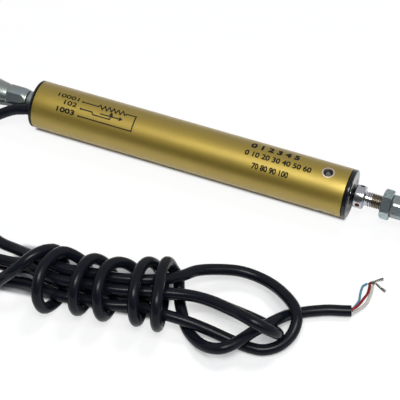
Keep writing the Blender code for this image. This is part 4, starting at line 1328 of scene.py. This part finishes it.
@dataclass
class Housing:
    """The gold tube, its end caps and screws, and what stands in the rear cap."""

    tube_start: float = -0.0665
    tube_end: float = 0.0551
    radius: float = 0.009
    bore: float = 0.0082
    gap: float = 0.0003
    tube_edge: float = 0.0001
    ring_spacing: float = 0.006
    hole_rings: tuple[float, ...] = (-0.0027, -0.0017, 0.0017, 0.0027)
    cap_edge: float = 0.0003
    rear_face: float = -0.0677
    rear_depth: float = -0.0575
    front_face: float = 0.0569
    front_depth: float = 0.0331
    passage_radius: float = 0.0022
    seal_radius: float = 0.0038
    seal_depth: float = 0.0023
    rod_bore: float = 0.0023
    bearing_radius: float = 0.0036
    bearing_length: float = 0.0113
    step_inner: float = 0.0041
    step_outer: float = 0.0058
    step_slope: float = 0.0001
    step_depth: float = 0.00012
    screw_at: float = 0.0475
    screw_radius: float = 0.0016
    screw_angle: float = math.radians(5.6)
    screw_top: float = 0.0085
    screw_length: float = 0.0032
    screws: int = 3
    drill: Span = (0.006, 0.011)
    edge_radius: float = 0.00225
    edge_flare: float = 0.00012
    edge_skin: float = 0.00001
    edge_reach: float = 0.004
    stud_start: float = -0.0806
    stud_radius: float = 0.0024
    collar_start: float = -0.0715
    collar_end: float = -0.0680
    collar_radius: float = 0.0039
    collar_bore: float = 0.0027
    collar_edge: float = 0.0004

    def build(self) -> None:
        """Makes every outer piece of the housing."""
        self._tube()
        self._rear_cap()
        self._front_cap()
        for number in range(self.screws):
            self._screw(number)
        self._stud_and_collar()

    def _radial(self, number: int) -> Matrix:
        """The frame of a screw: its own X points outwards from the axis."""
        turn = Matrix.Rotation(self.screw_angle + 2 * math.pi * number / self.screws, 4, "X")
        return Matrix.Translation(axis_point(self.screw_at)) @ turn @ Matrix.Rotation(-math.pi / 2, 4, "Y")

    def _tube(self) -> None:
        """The tube, with rings near its screw holes so that the cuts stay local."""
        start, end, radius, edge = self.tube_start, self.tube_end, self.radius, self.tube_edge
        spaced = [start + self.ring_spacing * k for k in range(1, 19)]
        near_holes = [self.screw_at + offset for offset in self.hole_rings]
        places = sorted([*spaced, *near_holes])
        profile = [
            (start, radius - edge), (start + edge, radius), *((x, radius) for x in places),
            (end - edge, radius), (end, radius - edge), (end, self.bore),
            *((x, self.bore) for x in reversed(places)), (start, self.bore),
        ]
        tube = Bench.turned("tube", profile, steps=160, corner=0.00008)
        for number in range(self.screws):
            drill = Bench.bar(f"drill_{number}", *self.drill, self.edge_radius, self._radial(number))
            Bench.combine(tube, drill, Joining.DIFFERENCE)
            self._bare_edge(number)
        Bench.resoften(tube)
        Bench.hand_over(tube, GOLD, Body.HOUSING, "housing_tube")

    def _bare_edge(self, number: int) -> None:
        """The bare metal edge of a screw's hole, where the countersink cut through the gold."""
        inner, outer = self.screw_radius + self.edge_flare, self.edge_radius + self.edge_skin
        low, high, flared = self.screw_top - 0.00015, self.radius + 0.0005, inner + self.edge_flare
        profile = [
            (low, inner), (self.screw_top, inner), (self.radius, flared), (high, flared), (high, outer),
            (low, outer),
        ]
        edge = Bench.turned(f"hole_edge_{number + 1}", profile, self._radial(number), 64, corner=0.0)
        start, end = self.screw_at - self.edge_reach, self.screw_at + self.edge_reach
        envelope = Bench.bar("edge_envelope", start, end, self.radius - self.edge_skin, steps=160)
        Bench.combine(edge, envelope, Joining.INTERSECT)
        Bench.resoften(edge)
        Bench.hand_over(edge, BARE, Body.HOUSING)

    def _outside(self, depth: float, tube: float, face: float) -> list[tuple[float, float]]:
        """A cap's outer outline, from the end of its spigot to the edge of its face."""
        spigot, edge = self.bore - self.gap, math.copysign(self.cap_edge, face)
        return [
            (depth, spigot), (tube, spigot), (tube, self.radius), (face - edge, self.radius),
            (face, self.radius - self.cap_edge),
        ]

    def _rear_cap(self) -> None:
        """The rear flange and spigot, bored for the stud and the cable."""
        face, depth, bore = self.rear_face, self.rear_depth, self.stud_radius + self.gap
        profile = [*self._outside(depth, self.tube_start - self.gap, face), (face, bore), (depth, bore)]
        cap = Bench.turned("rear_end_cap", profile, steps=128, corner=0.00015)
        hole = Matrix.Translation((0, *OUTLET[1:]))
        passage = Bench.bar("passage", face - 0.002, depth + 0.002, self.passage_radius, hole)
        Bench.combine(cap, passage, Joining.DIFFERENCE)
        Bench.resoften(cap)
        Bench.hand_over(cap, BLACK, Body.HOUSING, "rear_cap")

    def _front_cap(self) -> None:
        """The front flange and spigot, with a fine turned step round the rod's seal, and the seal."""
        face, depth, low = self.front_face, self.front_depth, self.front_face - self.step_depth
        seat, bearing = face - self.seal_depth, depth + self.bearing_length
        profile = [
            *self._outside(depth, self.tube_end + self.gap, face),
            (face, self.step_outer), (low, self.step_outer - self.step_slope),
            (low, self.step_inner + self.step_slope), (face, self.step_inner),
            (face, self.seal_radius), (seat, self.seal_radius), (seat, self.rod_bore),
            (bearing, self.rod_bore), (bearing, self.bearing_radius), (depth, self.bearing_radius),
        ]
        cap = Bench.turned("front_end_cap", profile)
        Bench.hand_over(cap, BLACK, Body.HOUSING, "front_cap")
        lip = [
            (face - 0.002, 0.0035), (face - 0.0001, 0.0035), (face - 0.0004, 0.0029), (face, 0.0023),
            (face - 0.0003, 0.00225), (face - 0.002, 0.0023),
        ]
        Bench.hand_over(Bench.turned("wiper_seal", lip, steps=96), RUBBER, Body.HOUSING, "shaft_seal")

    def _screw(self, number: int) -> None:
        """A cup-topped screw below the tube's surface, with a plain middle inside a dark ring."""
        top, low, radius = self.screw_top, self.screw_top - self.screw_length, self.screw_radius
        profile = [
            (low, 0.0), (low, radius - 0.0004), (low + 0.0004, radius), (top - 0.0001, radius),
            (top, radius - 0.0001), (top - 0.0001, radius - 0.0002), (top - 0.0011, radius - 0.0005),
            (top - 0.0011, radius - 0.0006), (top - 0.0006, 0.00095), (top - 0.0006, 0.0),
        ]
        place = self._radial(number)
        screw = Bench.turned(f"set_screw_{number + 1}", profile, place, 48, closed=False, corner=0.00005)
        Bench.hand_over(screw, SCREW, Body.HOUSING, f"cap_screw_{number + 1}")

    def _stud_and_collar(self) -> None:
        """The threaded stud and the round lock collar behind the rear cap."""
        stud = Thread("threaded_stud", self.stud_start, self.rear_depth, self.stud_radius).build()
        Bench.hand_over(stud, ZINC, Body.HOUSING, "rear_stud")
        start, end, radius, edge = self.collar_start, self.collar_end, self.collar_radius, self.collar_edge
        profile = [
            (start, radius - edge), (start + 0.0005, radius), (end - edge, radius), (end, radius - edge),
            (end, self.collar_bore), (start, self.collar_bore),
        ]
        collar = Bench.turned("lock_collar", profile, steps=96)
        Bench.hand_over(collar, ZINC, Body.HOUSING, "rear_lock_collar")


@dataclass
class Thread:
    """A screw thread along the housing's axis."""

    name: str
    start: float
    end: float
    radius: float
    pitch: float = 0.0008
    depth: float = 0.00045
    sides: int = 48
    steps: int = 10
    crest: float = 1.5
    flank: float = 5.0

    def build(self) -> bpy.types.Object:
        """Makes the thread as one closed mesh.

        Returns:
            The object.
        """
        shape = bmesh.new()
        count = round((self.end - self.start) / self.pitch * self.steps)
        turns = [side / self.sides for side in range(self.sides)]
        rings = []
        for row in range(count + 1):
            along = self.start + (self.end - self.start) * row / count
            fade = min(1.0, min(row, count - row) / self.steps)
            ring = []
            for turn in turns:
                phase = ((along - self.start) / self.pitch - turn) % 1.0
                crest = min(1.0, max(0.0, self.crest - abs(phase - 0.5) * self.flank))
                root = self.depth * (1 - crest) * fade + self.depth * (1 - fade)
                reach, angle = self.radius - root, 2 * math.pi * turn
                point = axis_point(along, reach * math.cos(angle), reach * math.sin(angle))
                ring.append(shape.verts.new(point))
            rings.append(ring)
        Bench.skin(shape, rings)
        shape.faces.new(rings[0])
        shape.faces.new(rings[-1])
        return Bench.from_bmesh(self.name, shape, sharp=40.0)


@dataclass
class RodTrain:
    """The sliding rod with its drilled boss, thread and jam nut."""

    shaft: float = 0.002
    rear: float = -0.0504
    rear_chamfer: float = 0.0005
    clip_groove: Span = (-0.0492, -0.0478)
    groove_radius: float = 0.0012
    stop: Span = (-0.0342, -0.0327)
    stop_radius: float = 0.0028
    boss: float = 0.0042
    boss_start: float = 0.0577
    boss_end: float = 0.0621
    boss_edge: float = 0.0005
    relief: float = 0.0025
    relief_end: float = 0.0643
    thread_start: float = 0.0624
    thread_depth: float = 0.00032
    tip: float = 0.0806
    thread: float = 0.00268
    nut_start: float = 0.0681
    nut_end: float = 0.07155
    nut_flats: float = 0.0095
    nut_bore: float = 0.0027
    nut_turn: float = math.radians(-14)
    drill: float = 0.0009
    drill_floor: float = 0.0031
    drill_top: float = 0.006
    holes: tuple[float, ...] = (math.radians(90), math.radians(-30), math.radians(210))

    def build(self) -> None:
        """Makes the rod, its thread and its nut."""
        shaft, boss, relief, start, end = self.shaft, self.boss, self.relief, self.boss_start, self.boss_end
        (clip_start, clip_end), (stop_start, stop_end) = self.clip_groove, self.stop
        profile = [
            (self.rear, 0.0), (self.rear, shaft - self.rear_chamfer), (self.rear + self.rear_chamfer, shaft),
            (clip_start, shaft), (clip_start, self.groove_radius), (clip_end, self.groove_radius),
            (clip_end, shaft), (stop_start, shaft), (stop_start, self.stop_radius),
            (stop_end, self.stop_radius), (stop_end, shaft), (0.0, shaft), (start, shaft),
            (start, boss - self.boss_edge), (start + self.boss_edge, boss), (end - 0.0008, boss),
            (end - 0.0006, boss - 0.0003), (end - 0.0005, 0.0030), (end - 0.0001, relief),
            (self.relief_end, relief), (self.relief_end, 0.0),
        ]
        rod = Bench.turned("sliding_rod", profile, steps=96, closed=False, corner=0.0001)
        middle, outwards = axis_point((start + end) / 2), Matrix.Rotation(-math.pi / 2, 4, "Y")
        for turn in self.holes:
            place = Matrix.Translation(middle) @ Matrix.Rotation(turn, 4, "X") @ outwards
            drill = Bench.bar("tommy_drill", self.drill_floor, self.drill_top, self.drill, place, 32)
            Bench.combine(rod, drill, Joining.DIFFERENCE)
        Bench.resoften(rod)
        Bench.hand_over(rod, STEEL, Body.ROD, "rod")
        stud = Thread("rod_thread", self.thread_start, self.tip, self.thread, depth=self.thread_depth).build()
        Bench.hand_over(stud, THREADED, Body.ROD, "rod")
        self._nut()

    def _nut(self) -> None:
        """The jam nut, its corners turned off at both faces."""
        place = Matrix.Translation(axis_point(0.0)) @ Matrix.Rotation(self.nut_turn, 4, "X")
        start, end, flats, edge = self.nut_start, self.nut_end, self.nut_flats, 0.0003
        corner = flats / math.sqrt(3) + 0.0001
        nut = Bench.prism("thin_nut", flats, start, end, place)
        turned_off = [
            (start - edge, 0.0), (start - edge, flats / 2 - 0.0004), (start + 0.0005, corner),
            (end - edge, corner), (end + edge, flats / 2 - 0.0002), (end + edge, 0.0),
        ]
        envelope = Bench.cutter("nut_envelope", turned_off, place, 96)
        Bench.combine(nut, envelope, Joining.INTERSECT)
        bored = [
            (start - 0.001, 0.0), (start - 0.001, 0.0038), (start + edge, self.nut_bore),
            (end - edge, self.nut_bore), (end + 0.001, 0.0038), (end + 0.001, 0.0),
        ]
        Bench.combine(nut, Bench.cutter("nut_bore", bored, place, 64), Joining.DIFFERENCE)
        Bench.bevel(nut, width=0.00007)
        Bench.resoften(nut, sharp=28.0)
        Bench.hand_over(nut, NUT_PLATE, Body.ROD, "jam_nut")


@dataclass
class RodEnd:
    """A plated female rod end, its race and its ball."""

    prefix: str
    place: Matrix
    body: Body
    ball_body: Body
    hex_turn: float = 0.0
    flats: float = 0.0081
    corner: float = 0.00436
    shank: float = 0.0078
    chamfer: float = 0.0022
    face_radius: float = 0.0039
    reach: float = 0.027
    eye: float = 0.008
    half: float = 0.0032
    eye_edge: float = 0.0007
    eye_bore: float = 0.00695
    ball: float = 0.00555
    ball_half: float = 0.004
    ball_bore: float = 0.0024
    race: float = 0.00665
    race_half: float = 0.0029
    race_gap: float = 0.0003
    bore_edge: float = 0.0003
    tap_radius: float = 0.0027
    tap_depth: float = 0.0098
    off_grid: float = 0.01
    voxel: float = 0.00016

    def neck_sections(self) -> list[tuple[float, float, float]]:
        """The neck's sections, eased between the shank and the eye.

        Returns:
            (place, half width, half height) rows.
        """
        flat = self.flats / 2
        start, end = self.shank - 0.0012, self.reach - self.eye / 2
        rows = [
            (0.0, flat - 0.0003, flat - 0.0003), (0.12, flat * 1.04, flat * 1.04),
            (0.30, flat * 1.17, flat * 1.14), (0.48, flat * 1.36, flat * 1.20),
            (0.66, flat * 1.56, flat * 1.10), (0.84, self.eye * 0.86, self.half * 1.12),
            (1.0, self.eye * 0.90, self.half * 0.90),
        ]
        course = smooth_route([(start + (end - start) * a, b, c) for a, b, c in rows], 0.0005)
        return [(p.x, p.y, p.z) for p in course]

    def build(self) -> None:
        """Makes the rod end's three pieces."""
        self._body()
        self._race()
        self._ball()

    def _body(self) -> None:
        """Shank, neck and eye forged in one, with soft meeting lines and a tapped hole."""
        corner, rim, half, edge = self.corner, self.eye, self.half, self.eye_edge
        turned = self.place @ Matrix.Rotation(self.hex_turn, 4, "X")
        made = Bench.prism(f"{self.prefix}_eye_end", self.flats, 0.0, self.shank, turned)
        shank = [
            (-0.0003, 0.0), (-0.0003, self.face_radius), (self.chamfer, corner), (self.shank + 0.001, corner),
            (self.shank + 0.001, 0.0),
        ]
        Bench.combine(made, Bench.cutter("shank_envelope", shank, self.place, 96), Joining.INTERSECT)
        Bench.combine(made, Bench.lofted("neck", self.neck_sections(), self.place), Joining.UNION)
        ring = [
            (-half, 0.0), (-half, rim - edge), (-half + edge, rim), (half - edge, rim), (half, rim - edge),
            (half, 0.0),
        ]
        eye = Bench.turned("eye", ring, self._eye_frame(), 128, closed=False, corner=0.0003)
        Bench.combine(made, eye, Joining.UNION)
        place = self._eye_frame() @ Matrix.Rotation(self.off_grid, 4, "X")
        bore = Bench.bar("eye_bore", -0.01, 0.01, self.eye_bore, place, 128)
        Bench.combine(made, bore, Joining.DIFFERENCE)
        tap, depth = self.tap_radius, self.tap_depth
        hole = [(-0.001, 0.0), (-0.001, tap + 0.0005), (0.0004, tap), (depth, tap), (depth + 0.0014, 0.0)]
        Bench.combine(made, Bench.cutter("tapped", hole, self.place, 64), Joining.DIFFERENCE)
        remesh = made.modifiers.new("even", "REMESH")
        remesh.mode = "VOXEL"
        remesh.voxel_size = self.voxel
        soft = made.modifiers.new("soft", "SMOOTH")
        soft.factor = 0.5
        soft.iterations = 3
        Bench.apply(made)
        Bench.resoften(made, sharp=60.0)
        Bench.hand_over(made, ZINC, self.body, f"{self.prefix}_rod_end")

    def _eye_frame(self) -> Matrix:
        """The frame at the eye's middle, whose X is the ball's bore."""
        return self.place @ Matrix.Translation((self.reach, 0, 0)) @ Matrix.Rotation(math.pi / 2, 4, "Y")

    @staticmethod
    def _zone(radius: float, half: float, steps: int) -> list[tuple[float, float]]:
        """A sphere's outline from -half to half along its axis."""
        limit = math.asin(half / radius)
        angles = (limit * (2 * k / steps - 1) for k in range(steps + 1))
        return [(radius * math.sin(a), radius * math.cos(a)) for a in angles]

    def _race(self) -> None:
        """The ring round the ball."""
        hollow = self._zone(self.ball + self.race_gap, self.race_half, 12)
        profile = [*hollow, (self.race_half, self.race), (-self.race_half, self.race)]
        race = Bench.turned(f"{self.prefix}_race_ring", profile, self._eye_frame(), 96, corner=0.00008)
        Bench.hand_over(race, DARK_STEEL, self.body, f"{self.prefix}_race")

    def _ball(self) -> None:
        """The ball, with a chamfered bore and flat faces."""
        outer = reversed(self._zone(self.ball, self.ball_half, 24))
        half, bore, edge = self.ball_half, self.ball_bore, self.bore_edge
        bored = [(-half, bore + edge), (-half + edge, bore), (half - edge, bore), (half, bore + edge)]
        profile = [*outer, *bored]
        ball = Bench.turned(f"{self.prefix}_bored_ball", profile, self._eye_frame(), 96, corner=0.00006)
        Bench.hand_over(ball, STEEL, self.ball_body, f"{self.prefix}_ball")


class Row(NamedTuple):
    """A row of numbers: its ends along X, its middle round the tube, its height and its boldness."""

    words: str
    start: float
    end: float
    arc: float
    height: float
    bold: float


@dataclass
class Print:
    """Generic marks in black ink on the tube: plain numbers, a resistor's sign and an arrow."""

    radius: float = 0.009
    lift: float = 0.00002
    stroke: float = 0.00048
    strip: float = 0.0004
    strips_from: float = -0.004
    strips: int = 40
    dot_radius: float = 0.0004
    letter_weight: float = 0.012
    digit_height: float = 0.73
    dots: tuple[Span, ...] = ((-0.0480, 0.0010), (-0.0477, 0.0039), (-0.0478, 0.0068))
    rows: tuple[Row, ...] = (
        Row("10001", -0.0581, -0.0497, 0.0004, 0.0018, 0.00002),
        Row("102", -0.0547, -0.0496, 0.0030, 0.0018, 0.00004),
        Row("1003", -0.0567, -0.0497, 0.0061, 0.0018, 0.00008),
        Row("0 1 2 3 4 5", 0.0177, 0.0358, -0.0019, 0.0025, 0.00014),
        Row("0 10 20 30 40 50 60", 0.0165, 0.0415, 0.0021, 0.0021, 0.00006),
        Row("70 80 90 100", 0.0204, 0.0341, 0.0063, 0.0021, 0.00006),
    )

    def on_tube(self, along: float, arc: float) -> Vector:
        """The place on the tube of a flat drawing's point.

        Args:
            along: X.
            arc: distance round the tube from its top towards the camera.

        Returns:
            The point just above the surface.
        """
        angle, reach = arc / self.radius, self.radius + self.lift
        return axis_point(along, -reach * math.sin(angle), reach * math.cos(angle))

    def build(self) -> None:
        """Wraps every mark onto the tube as one piece."""
        shape = bmesh.new()
        for row in self.rows:
            self._row(shape, row)
        for line in self.symbol():
            self._line(shape, line)
        for along, arc in self.dots:
            self._dot(shape, along, arc)
        for step in range(self.strips):
            bmesh.ops.bisect_plane(
                shape, geom=[*shape.verts, *shape.edges, *shape.faces],
                plane_co=(0, self.strips_from + self.strip * step, 0), plane_no=(0, 1, 0),
            )
        for vert in shape.verts:
            vert.co = self.on_tube(vert.co.x, vert.co.y)
        marks = Bench.from_bmesh("printed_marks", shape)
        Bench.hand_over(marks, INK, Body.HOUSING)

    @staticmethod
    def symbol() -> list[list[tuple[float, float]]]:
        """The strokes of a variable resistor's sign and a travel arrow, in (along, arc)."""
        zig = [
            (-0.0480, 0.0010), (-0.0417, 0.0010), (-0.0411, 0.0001), (-0.0399, 0.0019), (-0.0393, 0.0001),
            (-0.0381, 0.0019), (-0.0375, 0.0000), (-0.0363, 0.0018), (-0.0357, 0.0000), (-0.0345, 0.0018),
            (-0.0339, 0.0000), (-0.0327, 0.0018), (-0.0321, 0.0000), (-0.0309, 0.0016), (-0.0304, 0.0009),
            (-0.0266, 0.0008), (-0.0266, 0.0068), (-0.0478, 0.0068),
        ]
        wiper = [
            (-0.0477, 0.0039), (-0.0433, 0.0039), (-0.0424, 0.0048), (-0.0358, 0.0048), (-0.0358, 0.0024),
        ]
        tip = [(-0.0363, 0.0031), (-0.0358, 0.0023), (-0.0353, 0.0031)]
        travel = [(-0.0398, 0.0037), (-0.0314, 0.0036)]
        point = [(-0.0322, 0.0031), (-0.0314, 0.0036), (-0.0322, 0.0041)]
        return [zig, wiper, tip, travel, point]

    def _row(self, shape: bmesh.types.BMesh, row: Row) -> None:
        """Adds a row of numbers to the flat drawing, in four copies moved apart to make it bold."""
        text = bpy.data.curves.new("digits", "FONT")
        text.body = row.words
        text.offset = self.letter_weight
        text.fill_mode = "FRONT"
        holder = Bench.shown("digits", text)
        bpy.context.view_layer.update()
        depsgraph = bpy.context.evaluated_depsgraph_get()
        mesh = bpy.data.meshes.new_from_object(holder.evaluated_get(depsgraph), depsgraph=depsgraph)
        places = [vert.co.x for vert in mesh.vertices]
        wide, tall = (row.end - row.start) / (max(places) - min(places)), row.height / self.digit_height
        left, low, bold = row.start - min(places) * wide, row.arc + row.height / 2, row.bold
        for x, y in ((-bold, -bold), (bold, -bold), (-bold, bold), (bold, bold)):
            flat = Matrix(((wide, 0, 0, left + x), (0, -tall, 0, low + y), (0, 0, 0, 0), (0, 0, 0, 1)))
            copy = mesh.copy()
            copy.transform(flat)
            shape.from_mesh(copy)
            bpy.data.meshes.remove(copy)
        bpy.data.objects.remove(holder)
        bpy.data.meshes.remove(mesh)

    def _line(self, shape: bmesh.types.BMesh, points: Sequence[tuple[float, float]]) -> None:
        """Adds a stroke along points, each leg a short bar of its own."""
        for (x1, y1), (x2, y2) in zip(points, points[1:]):
            way = Vector((x2 - x1, y2 - y1)).normalized()
            side = Vector((-way.y, way.x)) * self.stroke / 2
            ends = way * self.stroke / 2
            corners = [
                Vector((x1, y1)) - ends - side, Vector((x2, y2)) + ends - side,
                Vector((x2, y2)) + ends + side, Vector((x1, y1)) - ends + side,
            ]
            shape.faces.new([shape.verts.new((c.x, c.y, 0.0)) for c in corners])

    def _dot(self, shape: bmesh.types.BMesh, along: float, arc: float) -> None:
        """Adds a round dot."""
        radius = self.dot_radius
        angles = [2 * math.pi * k / 20 for k in range(20)]
        points = [(along + radius * math.cos(a), arc + radius * math.sin(a), 0.0) for a in angles]
        shape.faces.new([shape.verts.new(point) for point in points])


@dataclass
class Interior:
    """The CAD nodes that stay, each with its own finish."""

    finishes: dict[str, Finish] = field(default_factory=lambda: {
        "front_bearing": BRONZE, "front_o_ring": RUBBER, "element_board": BOARD, "resistive_track": CARBON,
        "collector_track": SILVER, "terminal_pin_1": SILVER, "terminal_pin_2": SILVER,
        "terminal_pin_3": SILVER, "inner_lead_white": CORES["white"], "inner_lead_red": CORES["red"],
        "inner_lead_blue": CORES["blue"], "cable_grommet": RUBBER, "wiper_carriage": ACETAL,
        "track_wiper": BRONZE, "collector_wiper": BRONZE, "rod_clip": ZINC,
    })

    def build(self) -> None:
        """Dresses every node that stays."""
        for name, finish in self.finishes.items():
            finish.dress(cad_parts[name])
            REPORT.info("%s: %s", name, finish.name)


def main() -> None:
    """Builds the studio and every piece."""
    logging.basicConfig(level=logging.INFO, format="%(message)s")
    Studio().build()
    WoundCable().build(BareEnd().build())
    Housing().build()
    RodTrain().build()
    rear = Matrix.Translation(axis_point(-ROD_END_FACE)) @ Matrix.Rotation(math.pi, 4, "Z")
    RodEnd("rear", rear, Body.HOUSING, Body.REAR_BALL, REAR_HEX_TURN).build()
    front = Matrix.Translation(axis_point(ROD_END_FACE)) @ Matrix.Rotation(math.pi / 2, 4, "X")
    RodEnd("front", front, Body.ROD, Body.FRONT_BALL, FRONT_HEX_TURN, chamfer=FRONT_CHAMFER).build()
    Print().build()
    Interior().build()


if __name__ == "__main__":
    main()
